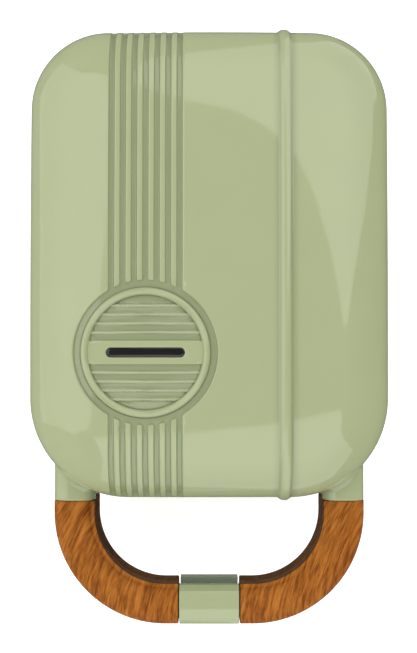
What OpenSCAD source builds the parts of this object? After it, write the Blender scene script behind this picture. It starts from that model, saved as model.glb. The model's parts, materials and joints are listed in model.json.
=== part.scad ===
// Sandwich toaster: hinged lid over a base, one pocketed plate in each half,
// a U-shaped handle with wooden grips on each half and a thumb latch between them.
// Millimetres. +Z is up, +Y points to the hinge at the back, the handle points to -Y.
// The origin is the centre of the overall footprint, on the surface the feet stand on.

/* [Body] */
// Width of the lid and the base
body_w = 155; // [150:0.5:160]
// Length of the lid and the base, front to back
body_l = 201.6; // [197:0.1:206]
// Plan radius of the two front corners
corner_front = 42.5; // [40:0.5:44]
// Plan radius of the two back corners
corner_rear = 33.5; // [31:0.5:35]
// Wall thickness of the mouldings
wall = 2.6; // [2.2:0.1:2.8]
// Height of the plane where the lid meets the base
part_z = 46; // [45:0.5:48]
// Open line between the lid's rim and the base's rim
rim_gap = 0.8; // [0.6:0.1:1]
// Height of the lid's crown above the plane where the halves meet
lid_h = 42; // [41:0.5:44]
// Radius that rounds the lid's top edge
edge_r = 20; // [17:0.5:21]
// Radius that rounds the base's bottom edge
base_edge_r = 12; // [9:0.5:13]
// Radius of the lid's crown across its width
crown_rx = 704; // [600:1:1200]
// Radius of the lid's crown along its length
crown_ry = 1500; // [1200:1:2500]

/* [Lid decoration] */
// Distance of the ribbed band and the badge left of the middle
band_x = 26.7; // [25:0.1:28]
// Width of one rib
rib_w = 2.05; // [1.6:0.05:2.4]
// Width of one groove
groove_w = 2.72; // [2.4:0.02:3]
// Number of grooves across the band
grooves = 7; // [5:1:7]
// Depth of the grooves
groove_d = 0.9; // [0.6:0.1:1.1]
// Distance of the badge in front of the body's middle
badge_y = 38.7; // [35:0.1:42]
// Outer radius of the recess around the badge
recess_r = 30.4; // [29.6:0.1:31]
// Outer radius of the badge's ring
ring_r = 27.3; // [26:0.1:28]
// Distance of the raised bead right of the middle
bead_x = 31.7; // [30:0.1:34]
// Width of the bead
bead_w = 4.8; // [4:0.1:5.4]
// Height of the bead over the lid
bead_h = 1.8; // [1.4:0.1:2.1]
// Length of the indicator window
window_l = 33; // [28:0.5:34]
// Width of the indicator window
window_w = 4.1; // [3.5:0.1:4.6]

/* [Handle] */
// Reach of the handle in front of the body
handle_reach = 56.6; // [55.5:0.1:58]
// Width over the outside of the handle
handle_w = 136.6; // [134:0.2:138]
// Width of the handle's bar seen from above
bar_w = 18.2; // [17.8:0.1:18.6]
// Height of each half of the handle
bar_h = 12.7; // [12.5:0.1:13]
// Radius of the handle's outer corner
handle_r = 49.1; // [47:0.1:50]
// Roundness of the grip's section, 2 is an ellipse
bar_n = 3.6; // [2.9:0.1:4]
// Width of the latch clip
clip_w = 26.1; // [24:0.1:26.4]

/* [Hinge and feet] */
// Distance of the hinge axis in front of the body's back wall
hinge_in = 5; // [4.9:0.1:5.4]
// Outer radius of the hinge knuckles
knuckle_r = 3.2; // [3:0.1:3.3]
// Radius of the hinge pin
hinge_pin_r = 1.5; // [1.2:0.1:1.6]
// Radial clearance of the pins in their moving knuckles
pin_play = 0.05; // [0.03:0.01:0.08]
// Height of the feet under the base
foot_h = 3.8; // [3:0.1:4.5]
// Radius of each foot
foot_r = 8; // [6:0.5:9]
// Radius of the bore where the mains cord enters
cord_r = 3.4; // [3:0.1:4]

/* [Plates] */
// Width of the sandwich pocket
pocket_w = 124; // [118:0.5:125]
// Length of the sandwich pocket
pocket_l = 134; // [126:0.5:136]
// Depth of each triangular pocket below its plate's face
pocket_d = 14.2; // [12:0.1:14.6]
// Thickness of the plate's flange and floor
plate_t = 2.4; // [2:0.1:2.6]
// Radius of the heating element's tube
tube_r = 3.2; // [2.8:0.1:3.4]

/* [Hidden] */
$fn = 48;

green = [0.69, 0.73, 0.56];
green_dark = [0.46, 0.50, 0.38];
wood = [0.66, 0.38, 0.16];
black = [0.09, 0.09, 0.10];
steel = [0.72, 0.73, 0.75];
coating = [0.16, 0.16, 0.17];

hw = body_w / 2;
body_cy = (handle_reach - bead_h) / 2;
fy = body_cy - body_l / 2;
ry = body_cy + body_l / 2;
rf = corner_front;
rr = corner_rear;
lid_rim = part_z + rim_gap / 2;
base_rim = part_z - rim_gap / 2;
lid_top = part_z + lid_h;
base_bottom = foot_h;
hinge_y = ry - hinge_in;
pocket_cy = body_cy - 2.4;
plate_back = hinge_y - 6.6;
face_gap = 0.3;
hy = fy - handle_reach;
bar_r = handle_r - bar_w / 2;
bar_cx = handle_w / 2 - handle_r;
bar_cy = hy + handle_r;
bar_yc = hy + bar_w / 2;
bar_xc = handle_w / 2 - bar_w / 2;
arm_end = fy - 2.2;
arm_end_low = fy - 0.5;
core_w = 12.8;
core_h = 8.05;
core_z = 0.35;
clip_y = hy + 0.8;
pivot_y = hy + 5.2;
pivot_z = part_z + 5;
latch_pin_r = 1.2;
grip_end = clip_w / 2 + 0.45;
badge = [-band_x, body_cy - badge_y];
screw_front = [40, pocket_cy - pocket_l / 2 - 15];
screw_back = [50, pocket_cy + pocket_l / 2 + 13];
element_z = pocket_d + plate_t + face_gap + tube_r + 0.1;
shield_z = element_z + tube_r + 5;
cord_z = base_bottom + 20.2;

// ---------- shared geometry ----------

// Height of the lid's outer crown at a point of the plan
function crown(x, y) = lid_top - x * x / (2 * crown_rx) - pow(y - body_cy, 2) / (2 * crown_ry);

// Slope of the crown, as the angles that lay a flat piece on it
badge_tilt = [atan((badge[1] - body_cy) / crown_ry) * -1, atan(badge[0] / crown_rx), 0];

// Drop of a rounded edge of radius r at distance d inside its outline
function edge_drop(d, r) = d >= r ? 0 : r - sqrt(max(0, r * r - pow(r - d, 2)));

// Closed outline of the body in plan, set in by d, counter-clockwise
function corner(cx, cy, r, a0, steps) =
  [for (i = [0 : steps]) [cx + r * cos(a0 + 90 * i / steps), cy + r * sin(a0 + 90 * i / steps)]];
function side(a, b, steps) = [for (i = [1 : steps - 1]) a + (b - a) * i / steps];
function outline(d, steps = 8) =
  let (f = max(rf - d, 0.5), b = max(rr - d, 0.5),
       xf = hw - d - f, xb = hw - d - b, yf = fy + d + f, yb = ry - d - b,
       c1 = corner(xf, yf, f, 270, steps), c2 = corner(xb, yb, b, 0, steps),
       c3 = corner(-xb, yb, b, 90, steps), c4 = corner(-xf, yf, f, 180, steps))
  concat(c1, side(c1[steps], c2[0], 4), c2, side(c2[steps], c3[0], 3),
         c3, side(c3[steps], c4[0], 4), c4, side(c4[steps], c1[0], 3));

// Front and back edge of the body at distance x from its middle
function front_at(x) = abs(x) <= hw - rf ? fy : fy + rf - sqrt(rf * rf - pow(abs(x) - hw + rf, 2));
function back_at(x) = abs(x) <= hw - rr ? ry : ry - rr + sqrt(rr * rr - pow(abs(x) - hw + rr, 2));

// Path over the lid in the plane at x, set in by d: up the front, over the crown, down the back.
// It starts at height low and ends at height low_back.
function over_lid(x, d, low, low_back, steps = 6) =
  let (a = front_at(x), b = back_at(x), r = edge_r)
  concat(
    [[a + d, low]],
    [for (i = [0 : steps]) let (t = 90 * i / steps, y = a + r - (r - d) * cos(t))
      [y, crown(x, y) - r + (r - d) * sin(t)]],
    [for (i = [1 : 9]) let (y = a + r + (b - a - 2 * r) * i / 10) [y, crown(x, y) - d]],
    [for (i = [0 : steps]) let (t = 90 * i / steps, y = b - r + (r - d) * sin(t))
      [y, crown(x, y) - r + (r - d) * cos(t)]],
    [[b - d, low_back]]);

// Closed shell from rings of points: the first ring and the last ring meet at the rim.
// Outer rings climb to the outer pole, inner rings come back down from the inner pole.
module ring_shell(outer, outer_pole, inner, inner_pole, flip = false) {
  n = len(outer[0]);
  ko = len(outer);
  ki = len(inner);
  pts = concat([for (r = outer) for (p = r) p], [outer_pole], [for (r = inner) for (p = r) p], [inner_pole]);
  base_in = n * ko + 1;
  quad = function (a, b, c, d) flip ? [[a, c, b], [a, d, c]] : [[a, b, c], [a, c, d]];
  faces = concat(
    [for (k = [0 : ko - 2]) for (i = [0 : n - 1]) let (j = (i + 1) % n)
      each quad(k * n + i, (k + 1) * n + i, (k + 1) * n + j, k * n + j)],
    [for (i = [0 : n - 1]) let (j = (i + 1) % n, a = (ko - 1) * n + i, b = (ko - 1) * n + j)
      flip ? [a, b, n * ko] : [a, n * ko, b]],
    [for (k = [0 : ki - 2]) for (i = [0 : n - 1]) let (j = (i + 1) % n)
      each quad(base_in + k * n + j, base_in + (k + 1) * n + j, base_in + (k + 1) * n + i, base_in + k * n + i)],
    [for (i = [0 : n - 1]) let (j = (i + 1) % n, a = base_in + (ki - 1) * n + i, b = base_in + (ki - 1) * n + j)
      flip ? [b, a, base_in + n * ki] : [b, base_in + n * ki, a]],
    [for (i = [0 : n - 1]) let (j = (i + 1) % n)
      each quad(j, base_in + j, base_in + i, i)]);
  polyhedron(points = pts, faces = faces, convexity = 6);
}

// Solid through a list of rings with the same number of points, with flat ends
module loft(rings) {
  n = len(rings);
  m = len(rings[0]);
  polyhedron(points = [for (r = rings) for (p = r) p], convexity = 6, faces = concat(
    [for (i = [0 : n - 2]) for (k = [0 : m - 1]) let (j = (k + 1) % m)
      each [[i * m + k, i * m + j, (i + 1) * m + j], [i * m + k, (i + 1) * m + j, (i + 1) * m + k]]],
    [[for (k = [m - 1 : -1 : 0]) k]],
    [[for (k = [0 : m - 1]) (n - 1) * m + k]]));
}

// Tube of radius r along a list of points
function unit(v) = v / norm(v);
function path_dir(p, i) = unit(p[min(i + 1, len(p) - 1)] - p[max(i - 1, 0)]);
module tube(path, r, sides = 8, up = [0, 0, 1]) {
  loft([for (i = [0 : len(path) - 1]) let (t = path_dir(path, i), u = unit(cross(t, up)), v = cross(t, u))
    [for (k = [0 : sides - 1]) path[i] + r * (cos(360 * k / sides) * u + sin(360 * k / sides) * v)]]);
}

// Points of a rounded bend: straight runs between the corners, each corner cut by radius r
function bend(p, r, steps = 4) = concat([p[0]],
  [for (i = [1 : len(p) - 2]) let (a = unit(p[i - 1] - p[i]), b = unit(p[i + 1] - p[i]))
    for (k = [0 : steps]) let (t = k / steps) p[i] + a * r * pow(1 - t, 2) + b * r * pow(t, 2)],
  [p[len(p) - 1]]);

// Exact plan of the body set in by d
module outline_2d(d) {
  translate([-hw + d, fy + rf]) square([2 * (hw - d), body_l - rf - rr]);
  translate([-hw + rf, fy + d]) square([2 * (hw - rf), rf - d + 1]);
  translate([-hw + rr, ry - rr - 1]) square([2 * (hw - rr), rr - d + 1]);
  for (s = [-1, 1]) {
    translate([s * (hw - rf), fy + rf]) circle(r = rf - d);
    translate([s * (hw - rr), ry - rr]) circle(r = rr - d);
  }
}

// Exact rectangle with round corners, centred
module rounded_rect(w, l, r) {
  square([w, l - 2 * r], center = true);
  square([w - 2 * r, l], center = true);
  for (x = [-1, 1]) for (y = [-1, 1]) translate([x * (w / 2 - r), y * (l / 2 - r)]) circle(r = r);
}

// Lower half pieces are drawn with the parting plane at z 0 and mirrored for the upper half
module upper_half() { translate([0, 0, part_z]) children(); }
module lower_half() { translate([0, 0, part_z]) mirror([0, 0, 1]) children(); }

// Pan head screw along +Z: the head's underside is at z 0, the shank goes down
module screw(shank_r, shank_l, head_r, head_h) {
  difference() {
    union() {
      translate([0, 0, -shank_l]) cylinder(r = shank_r, h = shank_l + 0.01, $fn = 24);
      cylinder(r = head_r, h = head_h, $fn = 32);
    }
    for (a = [0, 90]) rotate(a) translate([0, 0, head_h]) cube([head_r * 1.3, head_r * 0.26, head_h], center = true);
  }
}

// Section of the handle's bar: half of a soft rectangle standing on the parting plane
function bar_section(a, h, n, steps = 18) = concat(
  [[a, core_z]],
  [for (i = [1 : steps - 1]) let (t = 180 * i / steps, c = cos(t), s = sin(t))
    [a * sign(c) * pow(abs(c), 2 / n), h * pow(s, 2 / n)]],
  [[-a, core_z]]);

// A section swept along one side of the handle: from the middle gap round the corner to the arm.
// x0 is where it starts beside the latch, y1 is where it ends at the arm.
module side_sweep(x0, y1) {
  translate([bar_cx, bar_cy, 0]) rotate([0, 0, 270]) rotate_extrude(angle = 90, $fn = 96)
    translate([bar_r, 0]) children();
  translate([x0, bar_yc, 0]) rotate([90, 0, 90]) linear_extrude(bar_cx - x0) mirror([1, 0]) children();
  translate([bar_xc, y1, 0]) rotate([90, 0, 0]) linear_extrude(y1 - bar_cy) children();
}

// ---------- lid ----------

// Ribbed band: one cutter per groove, following the crown at the groove's depth
module groove_cutters() {
  pitch = rib_w + groove_w;
  for (i = [0 : grooves - 1]) {
    x = -band_x + (i - (grooves - 1) / 2) * pitch;
    deep = over_lid(x, groove_d, lid_rim + 4, lid_rim + 4);
    out = over_lid(x, -3, lid_rim + 4, lid_rim + 4);
    translate([x - groove_w / 2, 0, 0]) rotate([90, 0, 90]) linear_extrude(groove_w)
      polygon(concat(deep, [for (k = [len(out) - 1 : -1 : 0]) out[k]]));
  }
}

// Half-round bead over the lid, sunk a little into the skin
module bead() {
  r = bead_w / 2;
  section = concat([for (i = [0 : 8]) [bead_x + r * cos(22.5 * i), r - bead_h - r * sin(22.5 * i)]],
    [[bead_x - r, 1.5], [bead_x + r, 1.5]]);
  paths = [for (q = section) over_lid(q[0], q[1], lid_rim + 3, lid_rim + 5.8)];
  loft([for (i = [0 : len(paths[0]) - 1]) [for (k = [0 : len(section) - 1]) [section[k][0], paths[k][i][0], paths[k][i][1]]]]);
}

module on_badge() { translate([badge[0], badge[1], crown(badge[0], badge[1])]) rotate(badge_tilt) children(); }

// Arm that carries the handle, moulded on a shell's front corner
module arms(end) {
  for (s = [-1, 1]) difference() {
    translate([s * bar_xc, fy + 34, 0]) rotate([90, 0, 0]) linear_extrude(fy + 34 - end)
      polygon(bar_section(bar_w / 2 - 0.1, bar_h - 0.1, bar_n));
    translate([0, 0, -1]) linear_extrude(bar_h + 2) outline_2d(wall / 2);
  }
  for (s = [-1, 1]) intersection() {
    translate([s * bar_xc, fy + 13.2, 6.2]) rotate([90, 0, 0]) cylinder(r = 3.2, h = 12.6);
    linear_extrude(bar_h) outline_2d(wall / 2 + 0.2);
  }
}
module arm_sockets(end) {
  for (s = [-1, 1]) {
    translate([s * bar_xc, end + 3.7, 6.2]) cube([8.2, 7.8, 4.2], center = true);
    translate([s * bar_xc, fy + 13.6, 6.2]) rotate([90, 0, 0]) cylinder(r = 1.6, h = 20.6, $fn = 24);
  }
}

lid_levels = [0, 15, 30, 45, 60, 75, 90];
function lid_ring(d, r, drop) = [for (p = outline(d + drop)) [p[0], p[1], crown(p[0], p[1]) - drop - edge_drop(d, r)]];
module lid_moulding() {
  ri = edge_r - wall;
  outer = concat(
    [[for (p = outline(0)) [p[0], p[1], lid_rim]]],
    [for (a = lid_levels) lid_ring(edge_r * (1 - cos(a)), edge_r, 0)],
    [lid_ring(edge_r + 14, edge_r, 0), lid_ring(edge_r + 32, edge_r, 0)]);
  inner = concat(
    [[for (p = outline(wall)) [p[0], p[1], lid_rim]]],
    [for (a = lid_levels) lid_ring(ri * (1 - cos(a)), ri, wall)],
    [lid_ring(ri + 14, ri, wall), lid_ring(ri + 32, ri, wall)]);
  ring_shell(outer, [0, body_cy, crown(0, body_cy)], inner, [0, body_cy, crown(0, body_cy) - wall]);
}

module lid_shell() {
  color(green) difference() {
    union() {
      lid_moulding();
      // bead from the front rim over the crown to the back rim
      bead();
      upper_half() arms(arm_end);
      // bosses for the plate's screws and the hinge leaf's screws
      for (s = [-1, 1]) {
        for (p = [screw_front, screw_back]) translate([s * p[0], p[1], part_z + face_gap + plate_t])
          cylinder(r = 4, h = 33.2, $fn = 32);
        translate([s * 24, hinge_y - 1.8, part_z + 16]) rotate([-90, 0, 0]) cylinder(r = 4, h = 5, $fn = 32);
      }
    }
    groove_cutters();
    on_badge() {
      translate([0, 0, -groove_d]) cylinder(r = recess_r, h = 6, $fn = 96);
      translate([0, 0, -8]) cylinder(r = ring_r + 0.1, h = 12, $fn = 96);
    }
    upper_half() arm_sockets(arm_end);
    // clearance for the hinge barrel
    translate([-51, hinge_y, part_z]) rotate([0, 90, 0]) cylinder(r = knuckle_r + 0.4, h = 102);
    for (s = [-1, 1]) {
      for (p = [screw_front, screw_back]) translate([s * p[0], p[1], part_z - 1]) cylinder(r = 1.65, h = 13.4, $fn = 24);
      translate([s * 24, hinge_y - 3, part_z + 16]) rotate([-90, 0, 0]) cylinder(r = 1.45, h = 6.2, $fn = 24);
    }
  }
}

// Badge: flat ribbed disc in a round ring, with a slot for the indicator window
module indicator_bezel() {
  inner = ring_r - 3.2;
  color(green) on_badge() difference() {
    union() {
      translate([0, 0, -3.4]) cylinder(r = ring_r, h = 2.1, $fn = 96);
      rotate_extrude($fn = 96) translate([ring_r - 1.6, -1]) {
        circle(r = 1.6, $fn = 32);
        translate([-1.6, -1.2]) square([3.2, 1.2]);
      }
      intersection() {
        union() {
          translate([-inner - 1, -5.1, -1.4]) cube([2 * inner + 2, 10.2, 0.9]);
          for (s = [-1, 1]) for (i = [0 : 3]) translate([-inner - 1, s * (8.35 + i * 3.76) - 0.65, -1.4])
            cube([2 * inner + 2, 1.3, 0.75]);
        }
        translate([0, 0, -3]) cylinder(r = inner + 0.4, h = 4, $fn = 96);
      }
      // legs that carry the indicator board
      for (s = [-1, 1]) translate([s * (window_l / 2 + 2.9), 0, -7.4]) cylinder(r = 1.8, h = 4.2, $fn = 24);
    }
    for (s = [-1, 1]) translate([s * (window_l - window_w) / 2, 0, -5]) cylinder(r = window_w / 2, h = 6, $fn = 32);
    translate([-(window_l - window_w) / 2, -window_w / 2, -5]) cube([window_l - window_w, window_w, 6]);
  }
}

module slot_solid(l, w, h) {
  for (s = [-1, 1]) translate([s * (l - w) / 2, 0, 0]) cylinder(r = w / 2, h = h, $fn = 32);
  translate([-(l - w) / 2, -w / 2, 0]) cube([l - w, w, h]);
}

module indicator_window() {
  color([0.13, 0.12, 0.13]) on_badge() {
    translate([0, 0, -3.5]) slot_solid(window_l - 0.1, window_w - 0.1, 2.7);
    translate([0, 0, -4.3]) slot_solid(window_l + 1.6, window_w + 3, 0.85);
  }
}

module indicator_board() {
  color([0.12, 0.35, 0.2]) on_badge() difference() {
    translate([-22, -7, -9.1]) cube([44, 14, 1.6]);
    for (s = [-1, 1]) translate([s * 12, 4.6, -10]) cylinder(r = 0.8, h = 3, $fn = 24);
  }
}

module indicator_lamps() {
  color([0.8, 0.15, 0.1]) on_badge() for (s = [-1, 1]) translate([s * 8, 0, -7.45]) {
    cylinder(r = 1.6, h = 1.6, $fn = 24);
    translate([0, 0, 1.6]) sphere(r = 1.5, $fn = 24);
  }
}

// ---------- plates ----------

// Rounded triangle beside the diagonal, set in by d, as a thin slice for hulls
module triangle_slice(s, d, z) {
  w = pocket_w / 2 - d;
  l = pocket_l / 2 - d;
  g = d + 1.6;
  r = 7;
  // the two far corners and the right angle of one triangle
  for (p = [[-w + r, l - r], [-w + r, -l + r + 2.6 * g + 4], [w - r - 2.4 * g - 4, l - r]])
    translate([s * p[0], s * p[1], z]) cylinder(r = r, h = 0.02, $fn = 28);
}

// One plate drawn with its face at z = face_gap, pockets opening towards z 0
module plate() {
  floor_z = face_gap + pocket_d;
  difference() {
    union() {
      translate([0, 0, face_gap]) linear_extrude(plate_t) intersection() {
        outline_2d(wall + 0.7);
        translate([-hw, fy]) square([body_w, plate_back - fy]);
      }
      translate([0, pocket_cy, face_gap + 1]) linear_extrude(floor_z + plate_t - face_gap - 1)
        rounded_rect(pocket_w + 5, pocket_l + 5, 14);
      translate([0, pocket_cy + 15, floor_z]) cylinder(r = 4, h = plate_t + 2 * tube_r, $fn = 32);
    }
    // shallow joint pocket over both triangles
    translate([0, pocket_cy, face_gap - 1]) linear_extrude(3) rounded_rect(pocket_w, pocket_l, 12);
    for (s = [-1, 1]) translate([0, pocket_cy, 0]) hull() {
      triangle_slice(s, 0, face_gap + 1.98);
      triangle_slice(s, 4.5, floor_z - 0.02);
    }
    // drip channel
    translate([0, pocket_cy, face_gap - 1]) linear_extrude(2) difference() {
      rounded_rect(pocket_w + 12, pocket_l + 12, 17);
      rounded_rect(pocket_w + 7, pocket_l + 7, 14.5);
    }
    for (s = [-1, 1]) for (p = [screw_front, screw_back]) translate([s * p[0], p[1], face_gap - 1]) {
      cylinder(r = 1.75, h = 5, $fn = 24);
      cylinder(r = 3.6, h = 2.3, $fn = 32);
    }
    translate([0, pocket_cy + 15, floor_z + plate_t - 0.6]) cylinder(r = 1.55, h = 12, $fn = 24);
  }
}

module plate_screws() {
  for (s = [-1, 1]) for (p = [screw_front, screw_back]) translate([s * p[0], p[1], face_gap + 1.3])
    mirror([0, 0, 1]) screw(1.6, 10, 3.2, 1.1);
}

// Tubular heating element: a U under the plate with its two cold pins at the back
module element() {
  y0 = pocket_cy - 15;
  y1 = pocket_cy + 71;
  translate([0, y0, element_z]) rotate([0, 0, 180]) rotate_extrude(angle = 180, $fn = 96) translate([38, 0]) circle(r = tube_r, $fn = 24);
  for (s = [-1, 1]) translate([s * 38, y0, element_z]) rotate([-90, 0, 0]) {
    cylinder(r = tube_r, h = y1 - y0, $fn = 24);
    cylinder(r = 1.3, h = y1 - y0 + 8, $fn = 24);
  }
}

module element_clamp() {
  z = element_z + tube_r + 0.1;
  difference() {
    translate([-48, pocket_cy + 8, z]) cube([96, 14, 1.2]);
    translate([0, pocket_cy + 15, z - 1]) cylinder(r = 1.6, h = 4, $fn = 24);
  }
  translate([0, pocket_cy + 15, z + 1.2]) screw(1.5, 8.2, 3, 1.6);
}

// Sheet metal tray behind the element
module heat_shield() {
  t = 0.8;
  translate([0, pocket_cy, 0]) difference() {
    translate([0, 0, 9]) linear_extrude(shield_z + t - 9) rounded_rect(pocket_w + 11, pocket_l + 11, 16);
    translate([0, 0, 8]) linear_extrude(shield_z - 8) rounded_rect(pocket_w + 11 - 2 * t, pocket_l + 11 - 2 * t, 16 - t);
    // windows in the back wall for the element's cold pins and wires
    for (s = [-1, 1]) translate([s * 38, pocket_l / 2 + 4, element_z + 3]) cube([14, 12, 14], center = true);
  }
}

module upper_plate() { color(coating) upper_half() plate(); }
module lower_plate() { color(coating) lower_half() plate(); }
module upper_element() { color(steel) upper_half() element(); }
module lower_element() { color(steel) lower_half() element(); }
module upper_element_clamp() { color("silver") upper_half() element_clamp(); }
module lower_element_clamp() { color("silver") lower_half() element_clamp(); }
module upper_heat_shield() { color("gainsboro") upper_half() heat_shield(); }
module lower_heat_shield() { color("gainsboro") lower_half() heat_shield(); }
module upper_plate_screws() { color("silver") upper_half() plate_screws(); }
module lower_plate_screws() { color("silver") lower_half() plate_screws(); }

// ---------- base ----------

module base_moulding() {
  ro = base_edge_r;
  ri = base_edge_r - wall;
  levels = [0, 18, 36, 54, 72, 90];
  ring = function (d, z) [for (p = outline(d)) [p[0], p[1], z]];
  outer = concat([ring(0, base_rim)], [for (a = levels) ring(ro * (1 - cos(a)), base_bottom + ro * (1 - sin(a)))]);
  inner = concat([ring(wall, base_rim)], [for (a = levels) ring(wall + ri * (1 - cos(a)), base_bottom + wall + ri * (1 - sin(a)))]);
  ring_shell(outer, [0, body_cy, base_bottom], inner, [0, body_cy, base_bottom + wall], true);
}

foot_at = [52, 70];

module base_shell() {
  color(green) difference() {
    union() {
      base_moulding();
      lower_half() arms(arm_end_low);
      for (s = [-1, 1]) {
        for (p = [screw_front, screw_back]) translate([s * p[0], p[1], base_bottom + wall - 1])
          cylinder(r = 4, h = part_z - face_gap - plate_t - base_bottom - wall + 1, $fn = 32);
        translate([s * 42, hinge_y - 4.2, part_z - 13]) rotate([-90, 0, 0]) cylinder(r = 4, h = 8, $fn = 32);
      }
    }
    lower_half() arm_sockets(arm_end_low);
    // the lid's back wall swings down into this notch
    translate([-61, hinge_y - 4, part_z - 6]) cube([122, 20, 8]);
    translate([0, ry - 8, cord_z]) rotate([-90, 0, 0]) cylinder(r = 6.1, h = 12);
    for (sx = [-1, 1]) for (sy = [-1, 1]) translate([sx * foot_at[0], body_cy + sy * foot_at[1], 0]) cylinder(r = 2.6, h = 12, $fn = 32);
    // ventilation slots in the floor
    for (i = [-3 : 3]) translate([i * 10 - 1.2, body_cy - 18, 0]) cube([2.4, 36, 12]);
    for (s = [-1, 1]) {
      for (p = [screw_front, screw_back]) translate([s * p[0], p[1], part_z - 14]) cylinder(r = 1.65, h = 14, $fn = 24);
      translate([s * 42, hinge_y - 6, part_z - 13]) rotate([-90, 0, 0]) cylinder(r = 1.45, h = 9, $fn = 24);
    }
  }
}

module feet() {
  color(black) for (sx = [-1, 1]) for (sy = [-1, 1]) translate([sx * foot_at[0], body_cy + sy * foot_at[1], 0])
    rotate_extrude($fn = 48) polygon([[0, 0], [foot_r - 0.8, 0], [foot_r, 0.8], [foot_r - 0.4, foot_h], [2.5, foot_h],
      [2.5, foot_h + wall + 0.2], [3.1, foot_h + wall + 0.3], [2.3, foot_h + wall + 2.4], [0, foot_h + wall + 2.4]]);
}

module cord_bushing() {
  color(black) translate([0, 0, cord_z]) rotate([-90, 0, 0]) difference() {
    union() {
      translate([0, 0, ry - 8.4]) cylinder(r = 6, h = 8.4 + 1.2);
      translate([0, 0, ry + 0.02]) cylinder(r = 8, h = 1.3);
      translate([0, 0, ry - 8.4]) cylinder(r = 7, h = 8.4 - wall - 0.1);
    }
    translate([0, 0, ry - 10]) cylinder(r = cord_r, h = 14);
  }
}

module terminal_block() {
  y = pocket_cy + pocket_l / 2 + 8;
  color([0.92, 0.9, 0.84]) difference() {
    translate([-16, y, base_bottom + wall + 0.05]) cube([32, 12, 13]);
    for (i = [-1 : 1]) translate([i * 10, y + 6, base_bottom + wall + 9]) cylinder(r = 2, h = 6, $fn = 24);
    for (i = [-1 : 1]) translate([i * 10, y + 13, base_bottom + wall + 6]) rotate([90, 0, 0]) cylinder(r = 1.9, h = 5, $fn = 24);
  }
}

module thermostat() {
  translate([0, pocket_cy + 42, 0]) lower_half() {
    color([0.85, 0.83, 0.78]) translate([0, 0, face_gap + pocket_d + plate_t + 0.05]) {
      cylinder(r = 8.2, h = 6);
      translate([-14, -3.5, 0]) cube([28, 7, 1]);
    }
    color("silver") for (s = [-1, 1]) translate([s * 4.4 - 0.4, -3.1, face_gap + pocket_d + plate_t + 6])
      cube([0.8, 6.2, 4.2]);
  }
}

module thermal_fuse() {
  lower_half() translate([-11, pocket_cy + 58, element_z]) rotate([0, 90, 0]) {
    color("whitesmoke") cylinder(r = 2.1, h = 14, $fn = 24);
    color("silver") translate([0, 0, -6]) cylinder(r = 0.5, h = 26, $fn = 24);
  }
}

// ---------- hinge ----------

knuckles_base = [[-50, -34], [-12, 12], [34, 50]];
knuckles_lid = [[-33.6, -12.4], [12.4, 33.6]];

module barrel(k, r) { translate([k[0], hinge_y, part_z]) rotate([0, 90, 0]) cylinder(r = r, h = k[1] - k[0], $fn = 48); }

module base_hinge_leaf() {
  color("darkgray") difference() {
    union() {
      for (k = knuckles_base) {
        barrel(k, knuckle_r);
        translate([k[0], hinge_y - 6.2, part_z - 8]) cube([k[1] - k[0], 2, 7.6]);
        translate([k[0], hinge_y - 6.2, part_z - 2.4]) cube([k[1] - k[0], 5, 2]);
      }
      translate([-50, hinge_y - 6.2, part_z - 18]) cube([100, 2, 13.6]);
    }
    barrel([-60, 60], hinge_pin_r + 0.02);
    for (s = [-1, 1]) translate([s * 42, hinge_y - 8, part_z - 13]) rotate([-90, 0, 0]) cylinder(r = 1.6, h = 6, $fn = 24);
  }
}

module lid_hinge_leaf() {
  color("darkgray") difference() {
    union() {
      for (k = knuckles_lid) {
        barrel(k, knuckle_r);
        translate([k[0], hinge_y - 3.6, part_z + 1.2]) cube([k[1] - k[0], 1.8, 12]);
      }
      translate([-33.6, hinge_y - 3.6, part_z + 7]) cube([67.2, 1.8, 14]);
    }
    barrel([-60, 60], hinge_pin_r + pin_play);
    for (s = [-1, 1]) translate([s * 24, hinge_y - 6, part_z + 16]) rotate([-90, 0, 0]) cylinder(r = 1.6, h = 6, $fn = 24);
  }
}

module hinge_pin() { color(steel) barrel([-49.8, 49.8], hinge_pin_r); }

module base_hinge_screws() {
  color("silver") for (s = [-1, 1]) translate([s * 42, hinge_y - 6.25, part_z - 13]) rotate([90, 0, 0]) screw(1.4, 8, 2.8, 1.5);
}
module lid_hinge_screws() {
  color("silver") for (s = [-1, 1]) translate([s * 24, hinge_y - 3.65, part_z + 16]) rotate([90, 0, 0]) screw(1.4, 6, 2.8, 1.5);
}

// ---------- handle ----------

module grip(end) {
  difference() {
    side_sweep(grip_end, end - 0.05) polygon(bar_section(bar_w / 2, bar_h, bar_n));
    side_sweep(grip_end - 1, end + 1) translate([-core_w / 2 - 0.1, -1]) square([core_w + 0.2, core_z + core_h + 1.1]);
  }
}

// Bar inside the grips, with a tenon in each arm
module core_side(end) {
  side_sweep(grip_end - 0.1, end - 0.1) translate([-core_w / 2, core_z]) square([core_w, core_h]);
  translate([bar_xc - 4, end - 0.2, 4.2]) cube([8, 7.4, 4]);
}
module core_sides(end) {
  difference() {
    for (m = [0, 1]) mirror([m, 0, 0]) core_side(end);
    for (s = [-1, 1]) translate([s * bar_xc, fy + 13, 6.2]) rotate([90, 0, 0]) cylinder(r = 1.55, h = 24, $fn = 24);
  }
}

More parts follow.
